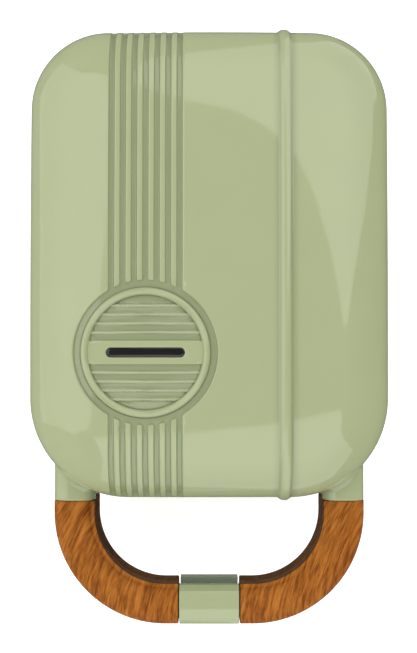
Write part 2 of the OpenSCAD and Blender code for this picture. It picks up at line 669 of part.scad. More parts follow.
module upper_handle_core() {
  color(black) upper_half() difference() {
    union() {
      core_sides(arm_end);
      translate([-grip_end - 0.05, pivot_y - 1.9, core_z]) cube([2 * grip_end + 0.1, 11.9, 6.65]);
    }
    // slots for the clip's two cheeks, the pin and the spring's seat
    for (s = [-1, 1]) translate([s * 9.1 - 1.6, pivot_y - 3, core_z - 1]) cube([3.2, 7.6, 9]);
    translate([-12.3, pivot_y, pivot_z - part_z]) rotate([0, 90, 0]) cylinder(r = latch_pin_r + 0.02, h = 24.6, $fn = 32);
    translate([0, pivot_y + 6.7, 3.5]) cylinder(r = 2.9, h = 5, $fn = 32);
  }
}

module lower_handle_core() {
  y0 = hy + 2.8;
  y1 = hy + 19.4;
  h = 12.4;
  color(green_dark) lower_half() difference() {
    union() {
      core_sides(arm_end_low);
      // block that the latch holds
      translate([-12.7, 0, 0]) rotate([90, 0, 90]) linear_extrude(25.4) {
        translate([y0, core_z]) square([y1 - y0, h - 3 - core_z]);
        translate([y0 + 3, core_z]) square([y1 - y0 - 6, h - core_z]);
        for (y = [y0 + 3, y1 - 3]) translate([y, h - 3]) circle(r = 3, $fn = 32);
      }
      translate([-grip_end - 0.05, bar_yc - core_w / 2, core_z]) cube([2 * grip_end + 0.1, core_w, core_h]);
    }
    // undercut that the clip's lip sits in
    translate([-14, y0 - 1, 7.2]) cube([28, 2.5, 6]);
  }
}

// Latch clip: curved cap, outer skirt with a lip, short inner skirt and two cheeks on the pin
function clip_top(y, l) = 59.7 - part_z - 0.7 * pow((y - l / 2) / (l / 2), 2);
module latch_clip() {
  l = 16.9;
  t = 1.6;
  color(green) translate([0, clip_y, 0]) upper_half() difference() {
    union() {
      translate([-clip_w / 2, 0, 0]) rotate([90, 0, 90]) linear_extrude(clip_w) polygon(concat(
        [[0, -11.4]],
        [for (i = [0 : 5]) let (a = 180 - 18 * i) [2 + 2 * cos(a), clip_top(2, l) - 2 + 2 * sin(a)]],
        [for (i = [1 : 7]) let (y = 2 + (l - 4) * i / 8) [y, clip_top(y, l)]],
        [for (i = [0 : 5]) let (a = 90 - 18 * i) [l - 2 + 2 * cos(a), clip_top(2, l) - 2 + 2 * sin(a)]],
        [[l, 4.4], [l - 1.5, 4.4], [l - 1.5, 10.4], [l - 2.5, 11.3], [t + 1, 11.3], [t, 10.4],
         [t, -7.6], [3.2, -7.6], [3.2, -9.2], [2.4, -11.4]]));
      for (s = [-1, 1]) translate([s * 9.1 - 1.3, 0.2, 2.6]) cube([2.6, 7.4, 9]);
    }
    translate([-14, pivot_y - clip_y, pivot_z - part_z]) rotate([0, 90, 0]) cylinder(r = latch_pin_r + 0.07, h = 28, $fn = 32);
  }
}

module latch_pin() {
  color(steel) translate([-12.1, pivot_y, pivot_z]) rotate([0, 90, 0]) cylinder(r = latch_pin_r, h = 24.2, $fn = 32);
}

module latch_spring() {
  turns = 5;
  z0 = part_z + 3.9;
  z1 = part_z + 10.9;
  color(steel) translate([0, pivot_y + 6.7, 0])
    tube([for (i = [0 : turns * 14]) let (a = 360 * i / 14) [2.2 * cos(a), 2.2 * sin(a), z0 + (z1 - z0) * i / (turns * 14)]], 0.35, 6);
}

module handle_screws() {
  for (s = [-1, 1]) translate([s * bar_xc, fy + 13.25, 6.2]) rotate([-90, 0, 0]) screw(1.5, 11.1, 2.6, 1.6);
}

module grip_upper_right() { color(wood) upper_half() grip(arm_end); }
module grip_upper_left() { color(wood) upper_half() mirror([1, 0, 0]) grip(arm_end); }
module grip_lower_right() { color(wood) lower_half() grip(arm_end_low); }
module grip_lower_left() { color(wood) lower_half() mirror([1, 0, 0]) grip(arm_end_low); }
module upper_handle_screws() { color("silver") upper_half() handle_screws(); }
module lower_handle_screws() { color("silver") lower_half() handle_screws(); }

// ---------- wiring ----------

lead = [55, hinge_y - 3.1];

module base_wiring() {
  y = pocket_cy + pocket_l / 2 + 14;
  z = base_bottom + wall + 10.6;
  ze = part_z - element_z;
  color([0.85, 0.82, 0.75]) {
    for (s = [-1, 1])
      tube(bend([[s * 10, y, z], [s * 10, y, ze], [s * 38, y + 5, ze], [s * 38, y - 1.8, ze]], 2.6), 1.2, 8, [0.3, 1, 0.2]);
    tube(bend([[0, y, z], [0, y, 22], [0, y + 6.5, 22], [lead[0], y + 6.5, 22], [lead[0], lead[1], 22], [lead[0], lead[1], 33]], 3), 1.4, 8, [0.3, 0.8, 0.5]);
  }
}

module hinge_lead() {
  color([0.85, 0.82, 0.75]) translate([lead[0], lead[1], 33.05]) cylinder(r = 1.4, h = 2 * (part_z - 33.05), $fn = 24);
}

module lid_wiring() {
  ze = part_z + element_z;
  y = pocket_cy + pocket_l / 2 + 14;
  color([0.85, 0.82, 0.75]) {
    tube(bend([[lead[0], lead[1], 2 * part_z - 33], [lead[0], lead[1], ze], [44, y + 6.5, ze], [38, y + 4, ze], [38, y - 1.8, ze]], 2.6), 1.4, 8, [0.3, 1, 0.2]);
    tube(bend([[-38, y - 1.8, ze], [-38, y + 3, ze], [-34, y + 3, 79.5], [-20, 60, 79.5], [0, 0, 79.5], [-3.4, badge[1], 78.9]], 2.6), 1, 8, [0.3, 0.2, 1]);
  }
}

lid_shell();
indicator_bezel();
indicator_window();
indicator_board();
indicator_lamps();
upper_plate();
upper_element();
upper_element_clamp();
upper_heat_shield();
upper_plate_screws();
lid_hinge_leaf();
lid_hinge_screws();
upper_handle_core();
grip_upper_left();
grip_upper_right();
upper_handle_screws();
latch_clip();
latch_pin();
latch_spring();
lid_wiring();
base_shell();
lower_plate();
lower_element();
lower_element_clamp();
lower_heat_shield();
lower_plate_screws();
base_hinge_leaf();
base_hinge_screws();
hinge_pin();
lower_handle_core();
grip_lower_left();
grip_lower_right();
lower_handle_screws();
feet();
cord_bushing();
terminal_block();
thermostat();
thermal_fuse();
base_wiring();
hinge_lead();
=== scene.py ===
import json
import math

import bmesh
import bpy
import numpy as np
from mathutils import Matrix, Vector
from mathutils.geometry import delaunay_2d_cdt


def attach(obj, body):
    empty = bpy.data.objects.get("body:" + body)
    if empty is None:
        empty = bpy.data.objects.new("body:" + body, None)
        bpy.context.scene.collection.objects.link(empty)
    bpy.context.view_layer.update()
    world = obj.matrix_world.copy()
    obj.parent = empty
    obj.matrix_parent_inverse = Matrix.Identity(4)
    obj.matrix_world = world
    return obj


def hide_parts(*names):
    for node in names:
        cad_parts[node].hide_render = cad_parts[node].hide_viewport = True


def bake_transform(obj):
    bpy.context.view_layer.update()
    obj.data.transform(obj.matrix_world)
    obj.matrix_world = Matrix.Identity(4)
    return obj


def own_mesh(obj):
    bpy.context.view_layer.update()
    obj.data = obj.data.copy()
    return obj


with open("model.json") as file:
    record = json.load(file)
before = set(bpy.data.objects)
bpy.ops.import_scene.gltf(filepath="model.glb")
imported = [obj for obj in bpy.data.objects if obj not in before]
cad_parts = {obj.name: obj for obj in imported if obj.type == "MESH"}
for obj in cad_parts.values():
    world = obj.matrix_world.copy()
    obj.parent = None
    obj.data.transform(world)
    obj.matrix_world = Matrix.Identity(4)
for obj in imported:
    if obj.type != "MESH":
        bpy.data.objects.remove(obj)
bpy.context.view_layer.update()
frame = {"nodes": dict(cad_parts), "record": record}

# ---------------------------------------------------------------- sizes, in millimetres
HW, BCY, FY, RY = 77.5, 27.4, -73.4, 128.2      # half width, middle, front and back of the body
RF, RR = 42.5, 33.5                             # plan radii of the front and back corners
WALL = 2.6
PART_Z, LID_RIM, BASE_RIM, TOP = 46.0, 46.4, 45.6, 88.0
EDGE_R = 20.0
BAND_X, PITCH, GROOVE_W, GROOVE_D = -26.7, 4.77, 2.72, 1.35
BADGE = (-26.7, -11.3)
RECESS_R, RING_R, RING_W = 30.4, 27.3, 3.2
SEAM_X = 58.0
HY = -130.0                                     # front of the handle
BAR_W, BAR_H, BAR_N = 18.2, 12.7, 3.6
BAR_R, BAR_CX, BAR_CY = 40.0, 19.2, -80.9
BAR_XC, BAR_YC = 59.2, -120.9
ARM_END, ARM_END_LOW = -75.6, -73.9
GRIP_END = 13.5
CORE_W, CORE_TOP = 12.8, 8.4


def crown(x, y):
    return TOP - x * x / 1408.0 - (y - BCY) ** 2 / 3000.0


def inset_of(x, y):
    """Distance inside the body's outline in plan."""
    ax = np.abs(x)
    d = np.minimum(np.minimum(HW - ax, y - FY), RY - y)
    front = (y < FY + RF) & (ax > HW - RF)
    back = (y > RY - RR) & (ax > HW - RR)
    d = np.where(front, RF - np.hypot(ax - (HW - RF), y - (FY + RF)), d)
    return np.where(back, RR - np.hypot(ax - (HW - RR), y - (RY - RR)), d)


def edge_drop(d, r):
    t = np.clip(r - d, 0, r)
    return r - np.sqrt(np.maximum(r * r - t * t, 0))


def skin(x, y, g=0.0):
    """Height of the lid's outer surface sunk by g."""
    return crown(x, y) - g - edge_drop(np.maximum(inset_of(x, y) - g, 0), EDGE_R - g)


def smooth(t):
    t = np.clip(t, 0, 1)
    return t * t * (3 - 2 * t)


def front_y(x, d):
    ax = abs(x)
    return FY + d if ax <= HW - RF else FY + RF - math.sqrt(max((RF - d) ** 2 - (ax - HW + RF) ** 2, 0))


def back_y(x, d):
    ax = abs(x)
    return RY - d if ax <= HW - RR else RY - RR + math.sqrt(max((RR - d) ** 2 - (ax - HW + RR) ** 2, 0))


# ---------------------------------------------------------------- mesh helpers

def build(name, verts, faces, normals=None, sharp=None, weld=None):
    """A mesh object from points in millimetres."""
    me = bpy.data.meshes.new(name)
    v = np.asarray(verts, float) / 1000.0
    me.from_pydata(v.tolist(), [], [list(f) for f in faces])
    if weld:
        bm = bmesh.new()
        bm.from_mesh(me)
        bmesh.ops.remove_doubles(bm, verts=bm.verts, dist=weld / 1000.0)
        bmesh.ops.dissolve_degenerate(bm, edges=bm.edges, dist=weld / 1000.0)
        bm.to_mesh(me)
        bm.free()
    me.validate()
    me.shade_smooth()
    if sharp is not None:
        me.set_sharp_from_angle(angle=math.radians(sharp))
    if normals is not None:
        me.normals_split_custom_set_from_vertices([tuple(n) for n in normals])
    me.update()
    ob = bpy.data.objects.new(name, me)
    bpy.context.scene.collection.objects.link(ob)
    return ob


def paint(ob, name, values):
    a = ob.data.attributes.new(name, "FLOAT", "POINT")
    a.data.foreach_set("value", np.asarray(values, np.float32))


def points_of(ob):
    """The mesh's points in millimetres."""
    c = np.empty(len(ob.data.vertices) * 3, np.float32)
    ob.data.vertices.foreach_get("co", c)
    return c.reshape(-1, 3).astype(float) * 1000


def grid_faces(nu, nv, close_u=False, close_v=False, base=0, flip=False):
    out = []
    for i in range(nu if close_u else nu - 1):
        i2 = (i + 1) % nu
        for j in range(nv if close_v else nv - 1):
            j2 = (j + 1) % nv
            f = [base + i * nv + j, base + i2 * nv + j, base + i2 * nv + j2, base + i * nv + j2]
            out.append(f[::-1] if flip else f)
    return out


class Soup:
    """Collects points and faces; points closer than a hair are welded at the end."""

    def __init__(self):
        self.v, self.f, self.n = [], [], 0

    def add(self, verts, faces, flip=False):
        verts = np.asarray(verts, float).reshape(-1, 3)
        base = self.n
        self.v.append(verts)
        self.f += [[base + k for k in (f[::-1] if flip else f)] for f in faces]
        self.n += len(verts)
        return base

    def grid(self, pts, flip=False, close_u=False, close_v=False):
        pts = np.asarray(pts, float)
        nu, nv = pts.shape[:2]
        return self.add(pts.reshape(-1, 3), grid_faces(nu, nv, close_u, close_v), flip)

    def obj(self, name, weld=0.004, sharp=None, normals=None):
        v = np.concatenate(self.v)
        key = np.round(v / weld).astype(np.int64)
        _, first, inv = np.unique(key, axis=0, return_index=True, return_inverse=True)
        inv = inv.reshape(-1)
        v = v[first]
        faces = []
        for f in self.f:
            g = []
            for k in f:
                m = int(inv[k])
                if not g or (g[-1] != m and m != g[0]):
                    g.append(m)
            if len(g) >= 3 and len(set(g)) == len(g):
                faces.append(g)
        nn = normals(v) if normals is not None else None
        return build(name, v, faces, nn, sharp)


def cdt(points, loops, holes=(), lines=(), keep=None):
    """Triangles over the points inside the outer loops and outside the holes. Returns points and triangles."""
    pts = [Vector((float(p[0]), float(p[1]))) for p in points]
    edges = []
    for ring in list(loops) + list(holes):
        base = len(pts)
        pts += [Vector((float(p[0]), float(p[1]))) for p in ring]
        n = len(ring)
        edges += [(base + i, base + (i + 1) % n) for i in range(n)]
    for line in lines:
        base = len(pts)
        pts += [Vector((float(p[0]), float(p[1]))) for p in line]
        edges += [(base + i, base + i + 1) for i in range(len(line) - 1)]
    v, _, f, _, _, _ = delaunay_2d_cdt(pts, edges, [], 0, 1e-5)
    v = np.array([[p.x, p.y] for p in v])
    f = np.array([list(t) for t in f if len(t) == 3])
    c = v[f].mean(axis=1)
    ok = np.zeros(len(f), bool)
    for ring in loops:
        ok |= inside(c, np.asarray(ring, float))
    for ring in holes:
        ok &= ~inside(c, np.asarray(ring, float))
    f = f[ok]
    a, b, d = v[f[:, 0]], v[f[:, 1]], v[f[:, 2]]
    area = (b[:, 0] - a[:, 0]) * (d[:, 1] - a[:, 1]) - (b[:, 1] - a[:, 1]) * (d[:, 0] - a[:, 0])
    f[area < 0] = f[area < 0][:, ::-1]
    return v, f[np.abs(area) > 1e-9]


def inside(p, ring):
    x, y = p[:, 0], p[:, 1]
    res = np.zeros(len(p), bool)
    x0, y0 = ring[-1]
    for x1, y1 in ring:
        cross = (y1 > y) != (y0 > y)
        with np.errstate(divide="ignore", invalid="ignore"):
            hit = x < (x0 - x1) * (y - y1) / (y0 - y1) + x1
        res ^= cross & hit
        x0, y0 = x1, y1
    return res


def circle(cx, cy, r, n, phase=0.0):
    a = 2 * np.pi * (np.arange(n) + phase) / n
    return np.stack([cx + r * np.cos(a), cy + r * np.sin(a)], -1)


def field_normals(v, height, step=0.02):
    dx = (height(v[:, 0] + step, v[:, 1]) - height(v[:, 0] - step, v[:, 1])) / (2 * step)
    dy = (height(v[:, 0], v[:, 1] + step) - height(v[:, 0], v[:, 1] - step)) / (2 * step)
    n = np.stack([-dx, -dy, np.ones(len(v))], -1)
    return n / np.linalg.norm(n, axis=1)[:, None]


# ---------------------------------------------------------------- lid

def band_top(x, y):
    """Signed distance to the lid's raised part around the band and the badge: positive on top."""
    rho = np.hypot(x - BADGE[0], y - BADGE[1])
    out = rho - RECESS_R
    best = np.full(np.broadcast(x, y).shape, -9.0)

    def rounded(a, b, r):
        qa, qb = r - a, r - b
        return r - np.hypot(np.maximum(qa, 0), np.maximum(qb, 0)) - np.minimum(np.maximum(qa, qb), 0)

    half = 3 * PITCH + GROOVE_W / 2
    for s in (-1, 1):
        best = np.maximum(best, rounded(s * (x - BAND_X) - half, out, 0.5))
    for i in range(6):
        xc = BAND_X + (i - 2.5) * PITCH
        best = np.maximum(best, rounded((PITCH - GROOVE_W) / 2 - np.abs(x - xc), out, 0.4))
    return best


def groove_depth(x, y):
    return GROOVE_D * (1 - smooth((band_top(x, y) + 0.55) / 0.62))


def lid_surface(x, y):
    return skin(x, y) - groove_depth(x, y)


def lid_columns():
    xs = set()
    for i in range(7):
        c = BAND_X + (i - 3) * PITCH
        for u in (0, 0.45, 0.81, 0.9, 1.0, 1.1, 1.2, 1.3, 1.43):
            xs.add(round(c + u, 4))
            xs.add(round(c - u, 4))
    for i in range(6):
        c = BAND_X + (i - 2.5) * PITCH
        xs.update([round(c - 0.45, 4), round(c, 4), round(c + 0.45, 4)])
    xs.update(np.round(np.arange(-58, BAND_X - 16.2, 1.3), 4).tolist())
    xs.update([round(v, 4) for v in np.linspace(BAND_X + 16.4, 58, 42) if abs(v - 32.3) > 6.6])
    xs.update([round(32.3 + s * d, 4) for s in (-1, 1) for d in (1.2, 2.2, 2.7, 3.2, 3.8, 4.4, 5.1, 6.0)])
    xs.update([-58.0, 58.0])
    return sorted(xs)


def make_lid(mat):
    soup = Soup()
    ang = [math.radians(a) for a in np.linspace(0, math.degrees(math.acos(1 - 17 / EDGE_R)), 24)]
    # the rim, the wall, the edge's rounding and the last steps to the seam
    low = [(0.4, LID_RIM), (0.12, LID_RIM + 0.12), (0.0, LID_RIM + 0.4), (0.0, 50.0), (0.0, 56.0), (0.0, 62.0)]
    deep = [17.5, 18.0, 18.4, 18.75, 19.05, 19.3, 19.45, 19.5]

    def at(x, y_of, kind, val, g=0.0):
        """Point of the lid on column x at one level, sunk by g."""
        if kind == "low":
            y = y_of(x, val[0] + g)
            return [x, y, val[1]]
        if kind == "edge":
            y = y_of(x, g + (EDGE_R - g) * (1 - math.cos(val)))
            return [x, y, crown(x, y) - g - (EDGE_R - g) * (1 - math.sin(val))]
        return [x, val, float(skin(np.float64(x), np.float64(val))) - g]

    cols = lid_columns()
    mid = np.linspace(FY + RF, RY - RR, 125)
    levels = [("low", v) for v in low] + [("edge", a) for a in ang]
    seam_f = [front_y(SEAM_X, d) for d in deep]
    seam_b = [back_y(SEAM_X, d) for d in deep]
    f17, b17 = front_y(SEAM_X, 17), back_y(SEAM_X, 17)
    tf = [(y - f17) / (FY + RF - f17) for y in seam_f]
    tb = [(y - b17) / (RY - RR - b17) for y in seam_b]

    def fade(kind, val):
        if kind == "low":
            return 0.0
        return float(smooth((math.degrees(val) - 5) / 19)) if kind == "edge" else 1.0

    grid = []
    for x in cols:
        gx = GROOVE_D * (1 - float(smooth((float(band_top(np.float64(x), np.float64(200.0))) + 0.55) / 0.62)))
        col = [at(x, front_y, k, v, gx * fade(k, v)) for k, v in levels]
        y0 = front_y(x, 17)
        col += [at(x, None, "top", y0 + (FY + RF - y0) * t, gx) for t in tf]
        col += [at(x, None, "top", y, gx) for y in mid[1:-1]]
        y1 = back_y(x, 17)
        col += [at(x, None, "top", y1 + (RY - RR - y1) * t, gx) for t in tb[::-1]]
        col += [at(x, back_y, k, v, gx * fade(k, v)) for k, v in levels[::-1]]
        grid.append(col)
    grid = np.array(grid)
    # cells under the badge are left out and filled by a finer patch
    x0 = min(range(len(cols)), key=lambda i: abs(cols[i] + 58.0))
    x1 = min(range(len(cols)), key=lambda i: abs(cols[i] - 5.5))
    ys = grid[x1, :, 1]
    row0 = max(j for j in range(len(ys)) if ys[j] < -44.3)
    row1 = min(j for j in range(len(ys)) if ys[j] > 21.5)
    nv = grid.shape[1]
    faces = []
    for i in range(len(cols) - 1):
        for j in range(nv - 1):
            if x0 <= i < x1 and row0 <= j < row1:
                continue
            faces.append([i * nv + j, (i + 1) * nv + j, (i + 1) * nv + j + 1, i * nv + j + 1])
    soup.add(grid.reshape(-1, 3), faces)
    loop = [grid[i, row0, :2] for i in range(x0, x1 + 1)] + [grid[x1, j, :2] for j in range(row0 + 1, row1 + 1)]
    loop += [grid[i, row1, :2] for i in range(x1 - 1, x0 - 1, -1)] + [grid[x0, j, :2] for j in range(row1 - 1, row0, -1)]
    # patch: rings of the recess, fine points at the ribs' ends, the columns further out
    pts = []
    rings = [28.2, 28.9, 29.6, 29.85, 29.96, 30.07, 30.18, 30.29, 30.4, 30.52]
    for k, r in enumerate(rings):
        pts += circle(*BADGE, r, 620, 0.5 * (k % 2)).tolist()
    half = 3 * PITCH + 1.6
    gx_, gy_ = np.meshgrid(np.arange(-half, half, 0.21), np.arange(-34, 34.01, 0.21))
    rho = np.hypot(gx_, gy_)
    ok = (rho > 30.62) & (rho < 32.6)
    fine = np.stack([gx_[ok] + BADGE[0], gy_[ok] + BADGE[1]], -1)
    pts += fine.tolist()
    a = np.arange(0, 2 * np.pi, 2 * np.pi / 300)
    for r in (31.0, 31.8):
        ring = np.stack([BADGE[0] + r * np.cos(a), BADGE[1] + r * np.sin(a)], -1)
        pts += ring[np.abs(ring[:, 0] - BADGE[0]) > half + 0.2].tolist()
    rows = grid[x1, row0 + 1:row1, 1]
    xlo, xhi = cols[x0], cols[x1]
    for x in cols[x0 + 1:x1]:
        inb = abs(x - BADGE[0]) < half + 0.2
        for y in rows[::(1 if inb else 2)]:
            if math.hypot(x - BADGE[0], y - BADGE[1]) > 32.75:
                pts.append([x, y])
    pts = [p for p in pts if xlo + 0.12 < p[0] < xhi - 0.12 and min(ys[row0], ys[row1]) + 0.12 < p[1] < max(ys[row0], ys[row1]) - 0.12]
    hole = circle(*BADGE, RING_R + 0.15, 360)
    v, f = cdt(pts, [loop], [hole])
    z = lid_surface(v[:, 0], v[:, 1])
    soup.add(np.column_stack([v, z]), f.tolist())
    # sides: rings from the front seam round to the back seam
    nring = 125
    ring_levels = levels + [("top", d) for d in deep]

    def side_ring(kind, val):
        if kind == "low":
            d, zf = val[0], None
        elif kind == "edge":
            d = EDGE_R * (1 - math.cos(val))
        else:
            d = val
        rf, rb = RF - d, RR - d
        a0 = math.acos(min(1.0, (SEAM_X - HW + RF) / rf))
        a1 = math.acos(min(1.0, (SEAM_X - HW + RR) / rb))
        l0, l1, l2 = rf * a0, (RY - RR) - (FY + RF), rb * a1
        out = []
        for t in np.linspace(0, l0 + l1 + l2, nring):
            if t < l0:
                q = -a0 + t / rf
                x, y = HW - RF + rf * math.cos(q), FY + RF + rf * math.sin(q)
            elif t <= l0 + l1:
                x, y = HW - d, FY + RF + t - l0
            else:
                q = (t - l0 - l1) / rb
                x, y = HW - RR + rb * math.cos(q), RY - RR + rb * math.sin(q)
            if kind == "low":
                z = val[1]
            elif kind == "edge":
                z = crown(x, y) - EDGE_R * (1 - math.sin(val))
            else:
                z = float(skin(np.float64(x), np.float64(y)))
            out.append([x, y, z])
        return out

    side = np.array([side_ring(k, v) for k, v in ring_levels])
    soup.grid(side, flip=True)
    left = side * np.array([-1, 1, 1])
    soup.grid(left)
    # inside: the rim's face and the inner skin, thinner behind the hinge
    outer = [p for p in grid[:, 0]][:-1] + [p for p in side[0]][:-1] + [p for p in grid[::-1, -1]][:-1] + [p for p in left[0][::-1]][:-1]
    outer = np.array(outer)
    n = len(outer)
    base = outline_points(outer[:, :2])
    ri = EDGE_R - WALL

    def inner(d, z):
        thin = smooth((np.abs(base[0][:, 0]) - 53.5) / -1.5) * (base[0][:, 1] > 100) * smooth((51.5 - z) / 1.5) * 1.35
        p = base[0] + base[1] * (d - thin)[:, None]
        return np.column_stack([p, np.broadcast_to(z, n)])

    rr_ = [outer, inner(np.full(n, WALL - 0.2), np.full(n, LID_RIM)), inner(np.full(n, WALL), np.full(n, LID_RIM + 0.2)),
           inner(np.full(n, WALL), np.full(n, 49.6)), inner(np.full(n, WALL), np.full(n, 51.6)), inner(np.full(n, WALL), np.full(n, 60.0))]
    for a_ in np.radians([0, 15, 30, 45, 60, 75, 88]):
        d = WALL + ri * (1 - math.cos(a_))
        p = base[0] + base[1] * d
        rr_.append(np.column_stack([p, crown(p[:, 0], p[:, 1]) - WALL - ri * (1 - math.sin(a_))]))
    soup.grid(np.array(rr_), close_v=True)
    last = rr_[-1]
    hole2 = circle(*BADGE, RING_R + 0.15, 360)
    px, py = np.meshgrid(np.arange(-50, 51, 6.0), np.arange(-46, 101, 6.0))
    pp = np.stack([px.ravel(), py.ravel()], -1)
    pp = pp[(inset_of(pp[:, 0], pp[:, 1]) > 22) & (np.hypot(pp[:, 0] - BADGE[0], pp[:, 1] - BADGE[1]) > RING_R + 2)]
    v, f = cdt(pp, [last[:, :2]], [hole2])
    zin = crown(v[:, 0], v[:, 1]) - WALL - edge_drop(inset_of(v[:, 0], v[:, 1]) - WALL, ri)
    soup.add(np.column_stack([v, zin]), f.tolist(), flip=True)
    ha = hole
    wall = np.array([np.column_stack([ha, lid_surface(ha[:, 0], ha[:, 1])]),
                     np.column_stack([ha, crown(ha[:, 0], ha[:, 1]) - WALL - edge_drop(inset_of(ha[:, 0], ha[:, 1]) - WALL, ri)])])
    soup.grid(wall, close_v=True, flip=True)

    ob = soup.obj("lid_shell_smooth", weld=0.006, sharp=50)
    c = points_of(ob)
    # painted shade: the grooves, the badge's recess and the hollows beside the bead are darkened on the lid's outer
    # surface
    hollow_shade = 1 - smooth((band_top(c[:, 0], c[:, 1]) + 0.62) / 0.5)
    ins = inset_of(c[:, 0], c[:, 1])
    t = np.clip(EDGE_R - ins, 0, EDGE_R - 0.1)
    outside = (c[:, 2] > skin(c[:, 0], c[:, 1]) - 1.9 * EDGE_R / np.sqrt(EDGE_R ** 2 - t * t)) | (ins < 1.9)
    bead_side_shade = bead_shade(c[:, 0]) * (c[:, 0] > 20) * smooth((c[:, 2] - 56) / 10)
    paint(ob, "hollow_shade", (hollow_shade * smooth((c[:, 2] - 61) / 8) + bead_side_shade) * outside)
    finish_piece(ob, "lid", mat, ["lid_shell"])
    return ob


def outline_points(p):
    """Base points on the outline and inward normals for points near it."""
    x, y = p[:, 0], p[:, 1]
    ax = np.abs(x)
    sx = np.sign(x)
    base = np.zeros((len(p), 2))
    nrm = np.zeros((len(p), 2))
    for i in range(len(p)):
        if y[i] < FY + RF and ax[i] > HW - RF:
            c = np.array([HW - RF, FY + RF])
            v = np.array([ax[i], y[i]]) - c
            v /= np.linalg.norm(v)
            b, n = c + v * RF, -v
        elif y[i] > RY - RR and ax[i] > HW - RR:
            c = np.array([HW - RR, RY - RR])
            v = np.array([ax[i], y[i]]) - c
            v /= np.linalg.norm(v)
            b, n = c + v * RR, -v
        elif y[i] <= FY + RF:
            b, n = np.array([ax[i], FY]), np.array([0.0, 1.0])
        elif y[i] >= RY - RR and ax[i] < HW - 12:
            b, n = np.array([ax[i], RY]), np.array([0.0, -1.0])
        else:
            b, n = np.array([HW, y[i]]), np.array([-1.0, 0.0])
        s = sx[i] if sx[i] != 0 else 1.0
        base[i] = [b[0] * s, b[1]]
        nrm[i] = [n[0] * s, n[1]]
    return base, nrm


def loft(rings, cap=True, close_v=True):
    rings = np.asarray(rings, float)
    n, m = rings.shape[:2]
    faces = grid_faces(n, m, False, close_v)
    if cap:
        faces.append(list(range(m)))
        faces.append([(n - 1) * m + k for k in range(m - 1, -1, -1)])
    return rings.reshape(-1, 3), faces


def recalc(ob):
    bm = bmesh.new()
    bm.from_mesh(ob.data)
    bmesh.ops.recalc_face_normals(bm, faces=bm.faces)
    bm.to_mesh(ob.data)
    bm.free()
    ob.data.update()


def finish_piece(ob, body, mat, replaced=()):
    ob.data.materials.clear()
    ob.data.materials.append(mat)
    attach(ob, body)
    if replaced:
        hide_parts(*replaced)
    return ob


def bead_shade(x):
    """Painted shade in the hollows beside the bead, deeper on the right."""
    d = x - 32.3
    right = smooth((d - 1.3) / 0.9) * (1 - smooth((d - 2.9) / 3.2))
    left = smooth((-d - 1.7) / 0.8) * (1 - smooth((-d - 3.1) / 2.6))
    return 0.88 * right + 0.72 * left


def make_bead(mat):
    """Round bead with concave feet, from the front wall over the lid to the back wall."""
    x, h = 32.3, 1.3
    right = [(2.9, -0.5), (3.3, -0.07), (3.05, 0.02), (2.82, 0.09), (2.62, 0.18), (2.45, 0.28), (2.3, 0.39), (2.12, 0.51), (1.9, 0.63), (1.62, 0.75), (1.3, 0.85), (0.95, 0.93), (0.5, 0.98)]
    sec = [(u, v * h) for u, v in right] + [(0.0, h)] + [(-u, v * h) for u, v in right[::-1]]
    stations = []
    for z in (0, 0.5, 1.2, 2.6, 6.6, 11.0):
        stations.append(("low", z))
    for a in np.linspace(0, 90, 25):
        stations.append(("edge", math.radians(a)))
    rings = []

    def ring(kind, val, y_of, start):
        out = []
        for u, v in sec:
            k = 1.0
            if kind == "low":
                t = min(1.0, val / 1.6)
                k = math.sqrt(max(0.0, 1 - (1 - t) ** 2)) if t < 1 else 1.0
            q = -v * k if v > 0 else -v
            xx = x + u * (0.35 + 0.65 * k)
            if kind == "low":
                out.append([xx, y_of(xx, q), start + val])
            elif kind == "edge":
                y = y_of(xx, q + (EDGE_R - q) * (1 - math.cos(val)))
                out.append([xx, y, crown(xx, y) - q - (EDGE_R - q) * (1 - math.sin(val))])
            else:
                out.append([xx, val, float(crown(xx, val)) - q])
        return out

    for k, v in stations:
        rings.append(ring(k, v, front_y, 49.4))
    for y in np.linspace(FY + EDGE_R, RY - EDGE_R, 90)[1:-1]:
        rings.append(ring("top", y, None, 0))
    for k, v in stations[::-1]:
        rings.append(ring(k, v, back_y, 52.2))
    v, f = loft(rings)
    ob = build("lid_bead", v, f, sharp=60)
    recalc(ob)
    c = points_of(ob)
    # painted shade beside the bead, fading out down the walls
    paint(ob, "hollow_shade", bead_shade(c[:, 0]) * smooth((c[:, 2] - 56) / 10))
    return finish_piece(ob, "lid", mat)


def bar_point(t, a, h, n):
    c, s = math.cos(t), math.sin(t)
    return a * math.copysign(abs(c) ** (2 / n), c), h * abs(s) ** (2 / n)


def half_section(a, h, n, z0, steps=44, lip=0.5):
    """Half section of the bar, flat side down with softened lower edges: list of (across, up)."""
    pts = []
    for t in np.linspace(0, math.pi, steps):
        pts.append(bar_point(t, a, h, n))
    pts = [(u, max(v, z0 + lip)) for u, v in pts]
    out = []
    for q in np.linspace(-90, 0, 6):
        r = math.radians(q)
        out.append((a - lip + lip * math.cos(r), z0 + lip + lip * math.sin(r)))
    out += [p for p in pts if p[1] > z0 + lip + 1e-6]
    for q in np.linspace(180, 270, 6):
        r = math.radians(q)
        out.append((-a + lip + lip * math.cos(r), z0 + lip + lip * math.sin(r)))
    return out


